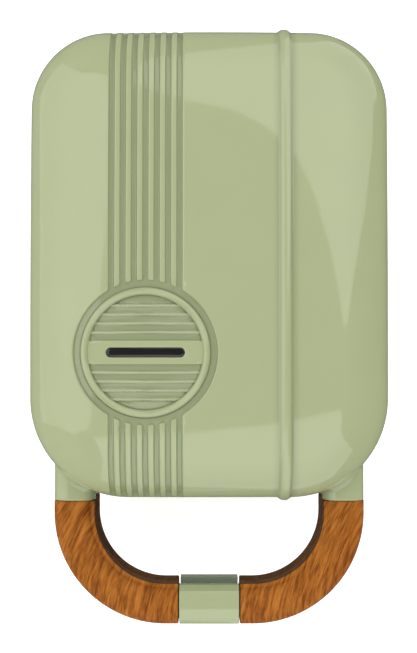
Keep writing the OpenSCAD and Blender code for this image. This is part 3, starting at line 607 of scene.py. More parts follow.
def make_arm(name, side, up, mat, body):
    """Arm moulded on the shell's front corner, its far end inside the wall."""
    sec = half_section(BAR_W / 2 - 0.1, BAR_H - 0.1, BAR_N, 0.35)
    rings = []
    shade = []
    end = ARM_END if up > 0 else ARM_END_LOW
    ends = [end, end + 0.12, end + 0.3]
    for k, y in enumerate(ends):
        s = (0.965, 0.99, 1.0)[k]
        rings.append([[side * (BAR_XC + u * s), y, PART_Z + up * (0.35 + (v - 0.35) * s)] for u, v in sec])
        shade += [0.0] * len(sec)
    flare = 3.4
    for t in list(np.linspace(0.04, 0.6, 10)) + list(np.linspace(0.65, 1, 12)):
        ring = []
        for u, v in sec:
            x = BAR_XC + u
            r = RF - 0.25
            y1 = FY + RF - math.sqrt(r * r - (x - HW + RF) ** 2)
            y0 = end + 0.3
            y = y0 + (y1 - y0) * t
            near = min(flare, max(0.0, flare - (y1 - y)))
            rise = flare - math.sqrt(flare * flare - near * near)
            ring.append([side * x, y, PART_Z + up * (v + rise * smooth((v - 3) / 9))])
            # painted shade in the crease where the arm meets the shell's wall, darker on the arm's inner side
            shade.append(0.9 * float(smooth((4.5 - (y1 - y)) / 4.5)) * (0.35 + 0.65 * float(smooth((-u + 2) / 8))))
        rings.append(ring)
    v, f = loft(rings)
    ob = build(name, v, f, sharp=40)
    recalc(ob)
    paint(ob, "hollow_shade", shade)
    return finish_piece(ob, body, mat)


def bar_path(x0, y1, n_arc=48):
    """Centre line of one side of the handle with its sideways direction: from the latch to the arm."""
    out = []
    for x in np.linspace(x0, BAR_CX, 7)[:-1]:
        out.append(((x, BAR_YC), (0.0, -1.0)))
    for a in np.linspace(-90, 0, n_arc):
        r = math.radians(a)
        out.append(((BAR_CX + BAR_R * math.cos(r), BAR_CY + BAR_R * math.sin(r)), (math.cos(r), math.sin(r))))
    for y in np.linspace(BAR_CY, y1, 6)[1:]:
        out.append(((BAR_XC, y), (1.0, 0.0)))
    return out


def grip_section(up):
    """Section of a grip: round outside, flat inside with painted shade on the inner wall, with the channel that the
    core lies in.
    Each point is (across, up, painted shade, on the channel)."""
    a, h, z0, lip = BAR_W / 2, BAR_H, 0.35, 0.7
    out = []
    for q in np.linspace(-90, 0, 6):
        r = math.radians(q)
        out.append((a - lip + lip * math.cos(r), z0 + lip + lip * math.sin(r), 0.0, 0))
    for t in np.linspace(0, math.pi / 2, 34)[1:]:
        u, v = bar_point(t, a, h, BAR_N)
        if v > z0 + lip:
            out.append((u, v, 0.0, 0))
    if up > 0:
        # a thin shell edge stands back from the wall
        ledge = h - 2.2
        for t in np.linspace(math.pi / 2, math.pi, 60)[1:]:
            u, v = bar_point(t, a - 0.35, h, 3.9)
            if v > ledge + 0.05:
                out.append((u, v, 0.0, 0))
        u = out[-1][0]
        out += [(u - 0.02, ledge + 0.02, 0.0, 0), (u - 0.3, ledge, 0.0, 0), (-a + 0.2, ledge - 0.02, 0.0, 0), (-a + 0.06, ledge - 0.12, 0.4, 0), (-a + 0.03, ledge - 0.3, 1.0, 0), (-a, ledge - 2, 1.0, 0)]
    else:
        # the wall runs down to a tighter corner
        for t in np.linspace(math.pi / 2, math.pi, 50)[1:]:
            u, v = bar_point(t, a + 0.4, h, 9.0)
            if v > 9.5:
                out.append((u - 0.4, v, float(smooth((-u - a + 1.2) / 0.8)), 0))
        out.append((-a - 0.8, 9.0, 1.0, 0))
    out.append((-a, z0 + 2.5, 1.0, 0))
    for q in np.linspace(180, 270, 6):
        r = math.radians(q)
        out.append((-a + lip + lip * math.cos(r), z0 + lip + lip * math.sin(r), 1.0 if q < 220 else 0.0, 0))
    c = CORE_W / 2 + 0.1
    return out + [(-c, z0, 0.0, 1), (-c, CORE_TOP + 0.1, 0.0, 1), (c, CORE_TOP + 0.1, 0.0, 1), (c, z0, 0.0, 1)]


def make_grip(name, side, up, mat, body, node):
    full = grip_section(up)
    path = bar_path(GRIP_END, (ARM_END if up > 0 else ARM_END_LOW) - 0.12)
    rings = []
    c = np.array([0.0, 0.35 + (BAR_H - 0.35) * 0.45])

    def ring(p, n, s, off):
        out = []
        t = (-n[1], n[0])
        for u, v, _, channel in full:
            k = 1.0 if channel else s
            uu, vv = c[0] + (u - c[0]) * k, c[1] + (v - c[1]) * k
            out.append([side * (p[0] + n[0] * uu + t[0] * off), p[1] + n[1] * uu + t[1] * off, PART_Z + up * vv])
        return out

    first, last = path[0], path[-1]
    for off, k in ((0.0, 0.955), (0.08, 0.975), (0.22, 0.99), (0.45, 1.0)):
        rings.append(ring(first[0], first[1], k, off))
    for p, n in path[1:-1]:
        rings.append(ring(p, n, 1.0, 0))
    for off, k in ((-0.4, 1.0), (-0.2, 0.992), (-0.06, 0.98), (0.0, 0.965)):
        rings.append(ring(last[0], last[1], k, off))
    v, f = loft(rings)
    ob = build(name, v, f, sharp=42)
    recalc(ob)
    # painted shade on the inner wall that faces the body
    paint(ob, "inner_wall_shade", [w for _ in rings for _, _, w, _ in full])
    return finish_piece(ob, body, mat, [node])


# ---------------------------------------------------------------- badge

def on_badge(pts):
    """Badge coordinates (x, y, z over the crown) to the row frame: tilted to lie on the crown."""
    bx, by = BADGE
    tx = math.atan((by - BCY) / -1500.0)
    ty = math.atan(bx / 704.0)
    p = np.asarray(pts, float)
    cx, sx_, cy, sy = math.cos(tx), math.sin(tx), math.cos(ty), math.sin(ty)
    y1 = p[:, 1] * cx - p[:, 2] * sx_
    z1 = p[:, 1] * sx_ + p[:, 2] * cx
    x2 = p[:, 0] * cy + z1 * sy
    z2 = -p[:, 0] * sy + z1 * cy
    return np.column_stack([x2 + bx, y1 + by, z2 + crown(bx, by)])


WIN_L, WIN_W = 33.2, 4.2


def stadium(l, w, n=20):
    r = w / 2
    out = []
    for a in np.linspace(-90, 90, n):
        out.append([(l - w) / 2 + r * math.cos(math.radians(a)), r * math.sin(math.radians(a))])
    for a in np.linspace(90, 270, n):
        out.append([-(l - w) / 2 + r * math.cos(math.radians(a)), r * math.sin(math.radians(a))])
    return out


def sd_stadium(x, y, l, w):
    return w / 2 - np.hypot(np.maximum(np.abs(x) - (l - w) / 2, 0), y)


def disc_height(x, y):
    """Face of the badge inside its ring."""
    floor = -1.75
    ay = np.abs(y)
    band = smooth((5.25 - ay) / 0.35)
    h = floor + 1.1 * band
    for i in range(4):
        yc = 8.35 + 3.76 * i
        h = np.maximum(h, floor + 1.0 * smooth((0.86 - np.abs(ay - yc)) / 0.42))
    rho = np.hypot(x, y)
    return h - 0.25 * smooth((rho - 23.4) / 0.8) * (1 - band)


def make_badge(mat):
    soup = Soup()
    inner = RING_R - RING_W
    pts = []
    for yc in [8.35 + 3.76 * i for i in range(4)]:
        for u in (-1.1, -0.88, -0.77, -0.65, -0.53, -0.42, 0, 0.42, 0.53, 0.65, 0.77, 0.88, 1.1, 1.88):
            for s in (-1, 1):
                y = s * (yc + u)
                hw = math.sqrt(max(0, (inner + 0.3) ** 2 - y * y)) - 0.25
                if hw > 0.5:
                    k = max(3, int(hw * 2 / 1.2))
                    pts += [[x, y] for x in np.linspace(-hw, hw, k)]
    for y in (4.6, 4.85, 5.0, 5.15, 5.3, 5.6, 6.4):
        for s in (-1, 1):
            hw = math.sqrt((inner + 0.3) ** 2 - y * y) - 0.25
            pts += [[x, s * y] for x in np.linspace(-hw, hw, 40)]
    for y in (-3.6, -2.8, 2.8, 3.6):
        pts += [[x, y] for x in np.linspace(-23, 23, 36)]
    for x in (-22.5, -20.5, -18.6, 18.6, 20.5, 22.5):
        pts += [[x, y] for x, y in zip([x] * 5, (-2, -1, 0, 1, 2))]
    for r in (23.3, 23.7, 24.0):
        pts += circle(0, 0, r, 200).tolist()
    edge = circle(0, 0, inner + 0.3, 240)
    slot = stadium(WIN_L + 0.3, WIN_W + 0.3, 22)
    pts = [p for p in pts if sd_stadium(np.float64(p[0]), np.float64(p[1]), WIN_L + 0.7, WIN_W + 0.7) < 0]
    v, f = cdt(pts, [edge], [slot])
    z = disc_height(v[:, 0], v[:, 1])
    soup.add(np.column_stack([v, z]), f.tolist())
    # the slot's edge: a small round and a wall down
    ring = []
    s0 = np.array(slot)
    nrm = []
    for p in s0:
        q = np.array([max(abs(p[0]) - (WIN_L - WIN_W) / 2, 0) * np.sign(p[0]), p[1]])
        nrm.append(q / np.linalg.norm(q))
    nrm = np.array(nrm)
    for off, dz in ((0.0, 0.0), (-0.08, -0.02), (-0.14, -0.08), (-0.16, -0.2), (-0.16, -2.2)):
        ring.append(np.column_stack([s0 + nrm * off, np.full(len(s0), -0.65 + dz)]))
    soup.grid(np.array(ring), close_v=True, flip=True)
    low = ring[-1]
    # ring with a round profile, its foot down in the recess
    prof = [(inner + 0.3, -1.9)]
    cx, r = RING_R - RING_W / 2, RING_W / 2
    hgt = 1.75
    for a in np.linspace(180, 0, 27):
        t = math.radians(a)
        prof.append((cx + r * math.cos(t), -1.15 + hgt * math.sin(t)))
    prof.append((RING_R, -2.35))
    n = 240
    a = 2 * np.pi * np.arange(n) / n
    rings = [np.column_stack([rr * np.cos(a), rr * np.sin(a), np.full(n, zz)]) for rr, zz in prof]
    # underside
    rings.append(np.column_stack([(RING_R - 0.3) * np.cos(a), (RING_R - 0.3) * np.sin(a), np.full(n, -2.85)]))
    soup.grid(np.array(rings), close_v=True, flip=True)
    first = np.column_stack([edge, disc_height(edge[:, 0], edge[:, 1])])
    soup.grid(np.array([first, rings[0]]), close_v=True, flip=True)
    v, f = cdt([], [circle(0, 0, RING_R - 0.3, n)], [low[:, :2]])
    soup.add(np.column_stack([v, np.full(len(v), -2.85)]), f.tolist(), flip=True)
    ob = soup.obj("indicator_bezel_smooth", weld=0.004, sharp=50)
    c = points_of(ob)
    rho = np.hypot(c[:, 0], c[:, 1])
    # painted shade: the badge's low parts, between the ridges and round the ring's foot, are darkened
    low = np.where(rho < inner + 0.25, smooth((-0.85 - c[:, 2]) / 0.5), smooth((-0.75 - c[:, 2]) / 0.5))
    paint(ob, "hollow_shade", low)
    ob.data.vertices.foreach_set("co", (on_badge(c) / 1000).astype(np.float32).ravel())
    ob.data.update()
    finish_piece(ob, "lid", mat, ["indicator_bezel"])
    return ob


def make_window(mat):
    rings = []
    for d, z in ((0.0, -2.6), (0.0, -1.15), (0.06, -1.0), (0.2, -0.9), (0.5, -0.84), (1.0, -0.8), (1.6, -0.79)):
        rings.append([[x, y, z] for x, y in stadium(WIN_L - 0.1 - 2 * d, WIN_W - 0.1 - 2 * d, 16)])
    v, f = loft(rings)
    ob = build("indicator_window_smooth", on_badge(v), f, sharp=50)
    recalc(ob)
    return finish_piece(ob, "lid", mat, ["indicator_window"])


# ---------------------------------------------------------------- base

def make_base(mat):
    soup = Soup()
    n_c = 22
    pts = []

    def arc(cx, cy, r, a0, k):
        return [(cx + r * math.cos(math.radians(a0 + 90 * i / k)), cy + r * math.sin(math.radians(a0 + 90 * i / k))) for i in range(k + 1)]

    xb = [61.6, 61.25, 61.05, 60.95]
    pts += arc(HW - RF, FY + RF, RF, 270, n_c)
    pts += [(HW, y) for y in np.linspace(FY + RF, RY - RR, 14)[1:-1]]
    back = arc(HW - RR, RY - RR, RR, 0, n_c) + [(x, RY) for x in np.linspace(HW - RR, -HW + RR, 18)[1:-1]] + arc(-HW + RR, RY - RR, RR, 90, n_c)
    extra = []
    for x in xb + [-v for v in xb]:
        extra.append((x, RY - RR + math.sqrt(RR ** 2 - (abs(x) - HW + RR) ** 2)))
    back = [p for p in back if all(abs(p[0] - e[0]) > 0.5 for e in extra)] + extra
    back.sort(key=lambda p: math.atan2(p[1] - (RY - 60), p[0]))
    pts += back
    pts += [(-HW, y) for y in np.linspace(RY - RR, FY + RF, 14)[1:-1]]
    pts += arc(-HW + RF, FY + RF, RF, 180, n_c)
    pts += [(x, FY) for x in np.linspace(-HW + RF, HW - RF, 10)[1:-1]]
    pts = np.array(pts)
    base, nrm = outline_points(pts)
    n = len(pts)
    rim = np.full(n, BASE_RIM)
    notch = (base[:, 1] > 100)
    rim = rim - 5.6 * notch * smooth((61.28 - np.abs(base[:, 0])) / 0.36)
    bottom, r = 3.8, 12.0

    def ring(d, z):
        return np.column_stack([base + nrm * d, np.broadcast_to(z, n)])

    rings = [ring(0.4, rim), ring(0.12, rim - 0.12), ring(0.0, rim - 0.4)]
    for z in (38.0, 32.0, 26.0, 20.0):
        rings.append(ring(0.0, np.minimum(z, rim - 0.6)))
    for a in np.linspace(0, 90, 19):
        t = math.radians(a)
        rings.append(ring(r * (1 - math.cos(t)), bottom + r * (1 - math.sin(t))))
    soup.grid(np.array(rings), close_v=True, flip=True)
    ri = r - WALL
    inn = [ring(0.4, rim), ring(WALL - 0.25, rim), ring(WALL, rim - 0.25), ring(WALL, np.full(n, 30.0))]
    for a in np.linspace(0, 90, 7):
        t = math.radians(a)
        inn.append(ring(WALL + ri * (1 - math.cos(t)), bottom + WALL + ri * (1 - math.sin(t))))
    soup.grid(np.array(inn), close_v=True)
    slots = [[(i * 10 + x, BCY + y) for y, x in stadium(36, 2.4, 8)] for i in range(-3, 4)]
    px, py = np.meshgrid(np.arange(-60, 61, 10.0), np.arange(-56, 112, 10.0))
    pp = np.stack([px.ravel() + 5, py.ravel()], -1)
    pp = pp[(inset_of(pp[:, 0], pp[:, 1]) > 14)]
    pp = [p for p in pp if not (abs(p[0]) < 34 and abs(p[1] - BCY) < 20)]
    outer = rings[-1][:, :2]
    v, f = cdt(pp, [outer], slots)
    soup.add(np.column_stack([v, np.full(len(v), bottom)]), f.tolist(), flip=True)
    v, f = cdt(pp, [inn[-1][:, :2]], slots)
    soup.add(np.column_stack([v, np.full(len(v), bottom + WALL)]), f.tolist())
    for s in slots:
        s = np.array(s)
        soup.grid(np.array([np.column_stack([s, np.full(len(s), bottom)]), np.column_stack([s, np.full(len(s), bottom + WALL)])]), close_v=True)
    ob = soup.obj("base_shell_smooth", weld=0.004, sharp=40)
    recalc(ob)
    # hole for the cord's bushing
    cut_v, cut_f = loft([[[6.15 * math.cos(t), y, 24.0 + 6.15 * math.sin(t)] for t in np.linspace(0, 2 * math.pi, 64, endpoint=False)] for y in (119.0, 133.0)])
    cutter = build("cutter", cut_v, cut_f)
    recalc(cutter)
    mod = ob.modifiers.new("bore", "BOOLEAN")
    mod.operation, mod.object, mod.solver = "DIFFERENCE", cutter, "EXACT"
    dg = bpy.context.evaluated_depsgraph_get()
    me = bpy.data.meshes.new_from_object(ob.evaluated_get(dg))
    ob.modifiers.clear()
    ob.data = me
    me.shade_smooth()
    me.set_sharp_from_angle(angle=math.radians(40))
    bpy.data.objects.remove(cutter)
    return finish_piece(ob, "base", mat, ["base_shell"])


# ---------------------------------------------------------------- plates

def sd_box(x, y, w, l, r):
    qx, qy = np.abs(x) - w / 2 + r, np.abs(y) - l / 2 + r
    return r - np.hypot(np.maximum(qx, 0), np.maximum(qy, 0)) - np.minimum(np.maximum(qx, qy), 0)


def sd_tri(x, y):
    """Inside distance of the triangle left of and behind the diagonal, before its corners are rounded."""
    w, l = 62.0, 67.0
    nx, ny = 0.742, -0.6705
    d3 = 7 - ((x + w - 7) * nx + (y - (-l + 7 + 2.6 * 1.6 + 4)) * ny)
    a, b = x + w, l - y
    r = 9.0
    # round intersection of three half planes
    qs = [r - a, r - b, r - d3]
    m = np.maximum(np.maximum(qs[0], qs[1]), qs[2])
    p = np.sqrt(sum(np.maximum(q, 0) ** 2 for q in qs))
    return np.where(m > 0, r - p, r - m)


def plate_depth(x, y, screws):
    """Depth below the plane where the halves meet."""
    face = 0.3
    py = y - 25.0
    h = np.full(np.shape(x), face)
    shallow = sd_box(x, py, 124, 134, 12)
    h = h + 1.75 * smooth((shallow + 0.6) / 2.4)
    deep = np.maximum(sd_tri(x, py), sd_tri(-x, -py))
    t = np.clip((deep - 0.2) / 5.8, 0, 1)
    wall = t * t * (3 - 2 * t)
    h = h + 12.4 * (0.35 * t + 0.65 * wall) * (t > 0)
    chan = np.minimum(sd_box(x, py, 136, 146, 17), -sd_box(x, py, 131, 141, 14.5))
    h = h + 0.75 * smooth((chan + 0.35) / 1.2)
    for sx, sy in screws:
        h = h + 1.9 * smooth((3.7 - np.hypot(x - sx, y - sy)) / 0.35)
    return h


def make_plate(name, up, mat, body, node):
    screws = [(s * 40, -57.0) for s in (-1, 1)] + [(s * 50, 105.0) for s in (-1, 1)]
    back = 116.6
    loop = []
    d = 3.3
    for a in np.linspace(270, 360, 22):
        loop.append((HW - RF + (RF - d) * math.cos(math.radians(a)), FY + RF + (RF - d) * math.sin(math.radians(a))))
    loop += [(HW - d, y) for y in np.linspace(FY + RF, RY - RR, 40)[1:-1]]
    a_end = math.degrees(math.asin((back - (RY - RR)) / (RR - d)))
    for a in np.linspace(0, a_end, 14):
        loop.append((HW - RR + (RR - d) * math.cos(math.radians(a)), RY - RR + (RR - d) * math.sin(math.radians(a))))
    half = loop[:]
    xe = half[-1][0]
    loop = half + [(x, back) for x in np.linspace(xe, -xe, 30)[1:-1]] + [(-x, y) for x, y in half[::-1]]
    loop += [(x, FY + d) for x in np.linspace(-(HW - RF), HW - RF, 24)[1:-1]]
    loop = np.array(loop)
    gx_, gy_ = np.meshgrid(np.arange(-74, 74.01, 0.95), np.arange(-69, 115.9, 0.95))
    ins = np.minimum(inset_of(gx_, gy_) - d, back - gy_)
    ok = ins > 0.75
    pts = np.stack([gx_[ok], gy_[ok]], -1)
    keep = np.ones(len(pts), bool)
    for sx, sy in screws:
        keep &= np.hypot(pts[:, 0] - sx, pts[:, 1] - sy) > 4.3
    pts = pts[keep].tolist()
    for sx, sy in screws:
        for r in (0.0, 2.2, 3.2, 3.38, 3.5, 3.62, 3.8, 4.1):
            pts += circle(sx, sy, r, 1 if r == 0 else 40).tolist()
    v, f = cdt(pts, [loop])
    depth = lambda x, y: plate_depth(x, y, screws)
    edge = np.minimum(inset_of(v[:, 0], v[:, 1]) - d, back - v[:, 1])
    zed = depth(v[:, 0], v[:, 1]) + 0.35 * (1 - smooth(edge / 0.9))
    soup = Soup()
    z = PART_Z + up * zed
    soup.add(np.column_stack([v, z]), f.tolist(), flip=up > 0)
    zb = PART_Z + up * (np.maximum(zed, 0.65) + 2.3)
    soup.add(np.column_stack([v, zb]), f.tolist(), flip=up < 0)
    lz = depth(loop[:, 0], loop[:, 1]) + 0.35
    soup.grid(np.array([np.column_stack([loop, PART_Z + up * lz]), np.column_stack([loop, PART_Z + up * (np.maximum(lz, 0.65) + 2.3)])]), close_v=True, flip=up < 0)
    ob = soup.obj(name, weld=0.004, sharp=45)
    recalc(ob)
    return finish_piece(ob, body, mat, [node])


# ---------------------------------------------------------------- latch

def fillet_loop(pts, steps=6):
    """Closed 2D polygon with each corner rounded by its third value."""
    out = []
    n = len(pts)
    for i in range(n):
        p = np.array(pts[i][:2], float)
        r = pts[i][2] if len(pts[i]) > 2 else 0
        a = np.array(pts[i - 1][:2], float) - p
        b = np.array(pts[(i + 1) % n][:2], float) - p
        la, lb = np.linalg.norm(a), np.linalg.norm(b)
        a, b = a / la, b / lb
        if r <= 0:
            out.append(p)
            continue
        ang = math.acos(max(-1, min(1, float(a @ b))))
        t = min(r / math.tan(ang / 2), la * 0.49, lb * 0.49)
        r = t * math.tan(ang / 2)
        c = p + (a + b) / np.linalg.norm(a + b) * (r / math.sin(ang / 2))
        s, e = p + a * t, p + b * t
        a0 = math.atan2(s[1] - c[1], s[0] - c[0])
        a1 = math.atan2(e[1] - c[1], e[0] - c[0])
        da = (a1 - a0 + math.pi) % (2 * math.pi) - math.pi
        for k in range(steps + 1):
            q = a0 + da * k / steps
            out.append(c + r * np.array([math.cos(q), math.sin(q)]))
    return np.array(out)


def prism_x(name, poly, x0, x1, bevel=0.4, sharp=35):
    """Solid with an outline in Y and Z, run along X with rounded ends."""
    poly = np.asarray(poly, float)
    n = len(poly)
    area = 0.5 * np.sum(poly[:, 0] * np.roll(poly[:, 1], -1) - np.roll(poly[:, 0], -1) * poly[:, 1])
    t = np.roll(poly, -1, 0) - np.roll(poly, 1, 0)
    t /= np.maximum(np.linalg.norm(t, axis=1), 1e-9)[:, None]
    nrm = np.stack([-t[:, 1], t[:, 0]], -1) * (1 if area > 0 else -1)
    rings = []
    prof = [(0.0, 1.0), (0.08, 0.62), (0.3, 0.29), (0.62, 0.08), (1.0, 0.0)]
    for dx, di in prof:
        p = poly + nrm * bevel * di
        rings.append(np.column_stack([np.full(n, x0 + bevel * dx), p]))
    for x in np.linspace(x0 + bevel, x1 - bevel, 6)[1:-1]:
        rings.append(np.column_stack([np.full(n, x), poly]))
    for dx, di in prof[::-1]:
        p = poly + nrm * bevel * di
        rings.append(np.column_stack([np.full(n, x1 - bevel * dx), p]))
    v, f = loft(rings)
    ob = build(name, v, f, sharp=sharp)
    recalc(ob)
    return ob


def join(name, obs):
    """One object from several, with their meshes put together."""
    bm = bmesh.new()
    for o in obs:
        me = o.data.copy()
        me.transform(o.matrix_world)
        bm.from_mesh(me)
        bpy.data.meshes.remove(me)
    out = bpy.data.meshes.new(name)
    bm.to_mesh(out)
    bm.free()
    out.shade_smooth()
    out.set_sharp_from_angle(angle=math.radians(35))
    ob = bpy.data.objects.new(name, out)
    bpy.context.scene.collection.objects.link(ob)
    for o in obs:
        bpy.data.objects.remove(o)
    return ob


def make_latch(mat):
    y0, z0, l = HY + 0.8, PART_Z, 16.9
    # cap: raised thumb pad towards the inside, soft crown, then the outer skirt with its lip
    p = [(0.0, -11.4, 0.5), (0.0, 11.0, 2.6), (2.3, 13.4, 1.8), (6.0, 13.68, 20.0), (14.5, 13.18, 1.1), (16.9, 10.0, 0.9), (16.9, 4.4, 0.4), (15.4, 4.4, 0.4),
         (15.4, 10.4, 0.6), (14.4, 11.3, 0.4), (2.6, 11.3, 0.5), (1.6, 10.4, 0.4), (1.6, -7.6, 0.15), (3.2, -7.6, 0.25), (3.2, -9.2, 0.3), (2.4, -11.4, 0.5)]
    poly = fillet_loop(p, 7) + np.array([y0, z0])
    cap = prism_x("latch_cap", poly, -13.05, 13.05, 0.45)
    parts = [cap]
    for s in (-1, 1):
        q = fillet_loop([(0.8, 2.9, 1.0), (0.8, 11.6, 0.4), (7.4, 11.6, 0.4), (7.4, 4.4, 1.5), (5.6, 2.9, 1.2)], 5) + np.array([y0, z0])
        parts.append(prism_x("cheek", q, s * 9.1 - 1.25, s * 9.1 + 1.25, 0.2))
    ob = join("latch_clip_smooth", parts)
    return finish_piece(ob, "latch", mat, ["latch_clip"])


def tube_along(name, path, r, m=12):
    """Round tube along points in millimetres, closed at both ends by a small dome."""
    p = np.asarray(path, float)
    t = np.gradient(p, axis=0)
    t /= np.linalg.norm(t, axis=1)[:, None]
    side = np.cross(t[0], [0.0, 0.0, 1.0])
    if np.linalg.norm(side) < 1e-3:
        side = np.array([1.0, 0.0, 0.0])
    rings = []
    for i in range(len(p)):
        side = side - t[i] * (side @ t[i])
        side /= np.linalg.norm(side)
        up = np.cross(t[i], side)
        ring = [side * math.cos(a) + up * math.sin(a) for a in np.linspace(0, 2 * math.pi, m, endpoint=False)]
        if i == 0:
            rings += [[p[0] + v * r * k + t[0] * r * q for v in ring] for k, q in ((0.6, 0.0), (0.9, 0.06))]
        rings.append([p[i] + t[i] * (0.3 * r if i == 0 else (-0.3 * r if i == len(p) - 1 else 0)) + v * r for v in ring])
        if i == len(p) - 1:
            rings += [[p[i] + v * r * k - t[i] * r * q for v in ring] for k, q in ((0.9, 0.06), (0.6, 0.0))]
    v, f = loft(rings)
    ob = build(name, v, f, sharp=60)
    recalc(ob)
    return ob


def make_spring(mat):
    """Compression spring under the latch's thumb end, with closed end coils."""
    pts = []
    z0, z1, turns = PART_Z + 3.9, PART_Z + 10.9, 6.0
    for t in np.linspace(0, turns, int(turns * 22) + 1):
        k = np.clip((t - 0.8) / (turns - 1.6), 0, 1)
        z = z0 + 0.55 * min(t, 0.8) / 0.8 + (z1 - z0 - 1.1) * k + 0.55 * max(0.0, t - turns + 0.8) / 0.8
        a = 2 * math.pi * t
        pts.append((2.2 * math.cos(a), -118.1 + 2.2 * math.sin(a), z))
    ob = tube_along("latch_spring_coil", pts, 0.35, 8)
    finish_piece(ob, "lid", mat, ["latch_spring"])
    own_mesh(ob)
    return ob


def make_lead(mat):
    """Sleeved lead that crosses from the base to the lid beside the hinge."""
    pts = [(55.0, 120.1, z) for z in np.linspace(33.1, 58.9, 44)]
    ob = tube_along("hinge_lead_sleeve", pts, 1.4, 20)
    ob.data.materials.append(mat)
    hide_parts("hinge_lead")
    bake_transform(ob)
    return ob


# ---------------------------------------------------------------- materials

def new_mat(name):
    m = bpy.data.materials.new(name)
    m.use_nodes = True
    m.node_tree.nodes.clear()
    nt = m.node_tree
    out = nt.nodes.new("ShaderNodeOutputMaterial")
    b = nt.nodes.new("ShaderNodeBsdfPrincipled")
    nt.links.new(b.outputs[0], out.inputs[0])
    return m, nt, b


def node(nt, kind, **kw):
    n = nt.nodes.new(kind)
    for k, v in kw.items():
        setattr(n, k, v)
    return n


def ramp(nt, fac, stops, interp="LINEAR"):
    r = nt.nodes.new("ShaderNodeValToRGB")
    r.color_ramp.interpolation = interp
    el = r.color_ramp.elements
    while len(el) < len(stops):
        el.new(0.5)
    for e, (p, c) in zip(el, stops):
        e.position = p
        e.color = (*c, 1.0) if len(c) == 3 else c
    nt.links.new(fac, r.inputs[0])
    return r.outputs[0]


def noise(nt, vec, scale, detail=3.0, rough=0.5, dist=0.0):
    n = nt.nodes.new("ShaderNodeTexNoise")
    n.inputs["Scale"].default_value = scale
    n.inputs["Detail"].default_value = detail
    n.inputs["Roughness"].default_value = rough
    n.inputs["Distortion"].default_value = dist
    if vec is not None:
        nt.links.new(vec, n.inputs["Vector"])
    return n


def bump(nt, height, strength, distance):
    b = nt.nodes.new("ShaderNodeBump")
    b.inputs["Strength"].default_value = strength
    b.inputs["Distance"].default_value = distance
    nt.links.new(height, b.inputs["Height"])
    return b.outputs[0]


def obj_coords(nt):
    return nt.nodes.new("ShaderNodeTexCoord").outputs["Object"]


def shaded(nt, col, attribute, tint):
    """The colour times tint where the mesh's attribute is 1: painted shade."""
    at = node(nt, "ShaderNodeAttribute", attribute_type="GEOMETRY", attribute_name=attribute)
    mx = node(nt, "ShaderNodeMix", data_type="RGBA", blend_type="MULTIPLY")
    nt.links.new(at.outputs["Fac"], mx.inputs[0])
    nt.links.new(col, mx.inputs[6])
    mx.inputs[7].default_value = (*tint, 1.0)
    return mx.outputs[2]


def speckle_mat(name, base, var, rough, rough_var, scale, bump_s=0.05, bump_d=0.00005, metallic=0.0, spec=0.5, coat=0.0, hollow_shade=None):
    """Moulded or plated surface: slight colour mottling, uneven gloss and a fine grain."""
    m, nt, b = new_mat(name)
    c = obj_coords(nt)
    big = noise(nt, c, 45.0, 4.0, 0.55)
    lo = tuple(max(0, v * (1 - var)) for v in base)
    hi = tuple(min(1, v * (1 + var)) for v in base)
    col = ramp(nt, big.outputs[0], [(0.3, lo), (0.7, hi)])
    # painted shade: darker where the mesh's attribute marks grooves, recesses and creases
    if hollow_shade:
        col = shaded(nt, col, "hollow_shade", hollow_shade)
    nt.links.new(col, b.inputs["Base Color"])
    fine = noise(nt, c, scale, 4.0, 0.6)
    mr = nt.nodes.new("ShaderNodeMapRange")
    mr.inputs["From Min"].default_value, mr.inputs["From Max"].default_value = 0.3, 0.7
    mr.inputs["To Min"].default_value, mr.inputs["To Max"].default_value = max(0.02, rough - rough_var), rough + rough_var
    nt.links.new(fine.outputs[0], mr.inputs["Value"])
    nt.links.new(mr.outputs[0], b.inputs["Roughness"])
    nt.links.new(bump(nt, fine.outputs[0], bump_s, bump_d), b.inputs["Normal"])
    b.inputs["Metallic"].default_value = metallic
    b.inputs["Specular IOR Level"].default_value = spec
    b.inputs["Coat Weight"].default_value = coat
    return m


def math_node(nt, op, a, b=None):
    n = node(nt, "ShaderNodeMath", operation=op)
    for k, v in enumerate((a, b)):
        if v is None:
            continue
        if isinstance(v, (int, float)):
            n.inputs[k].default_value = v
        else:
            nt.links.new(v, n.inputs[k])
    return n.outputs[0]


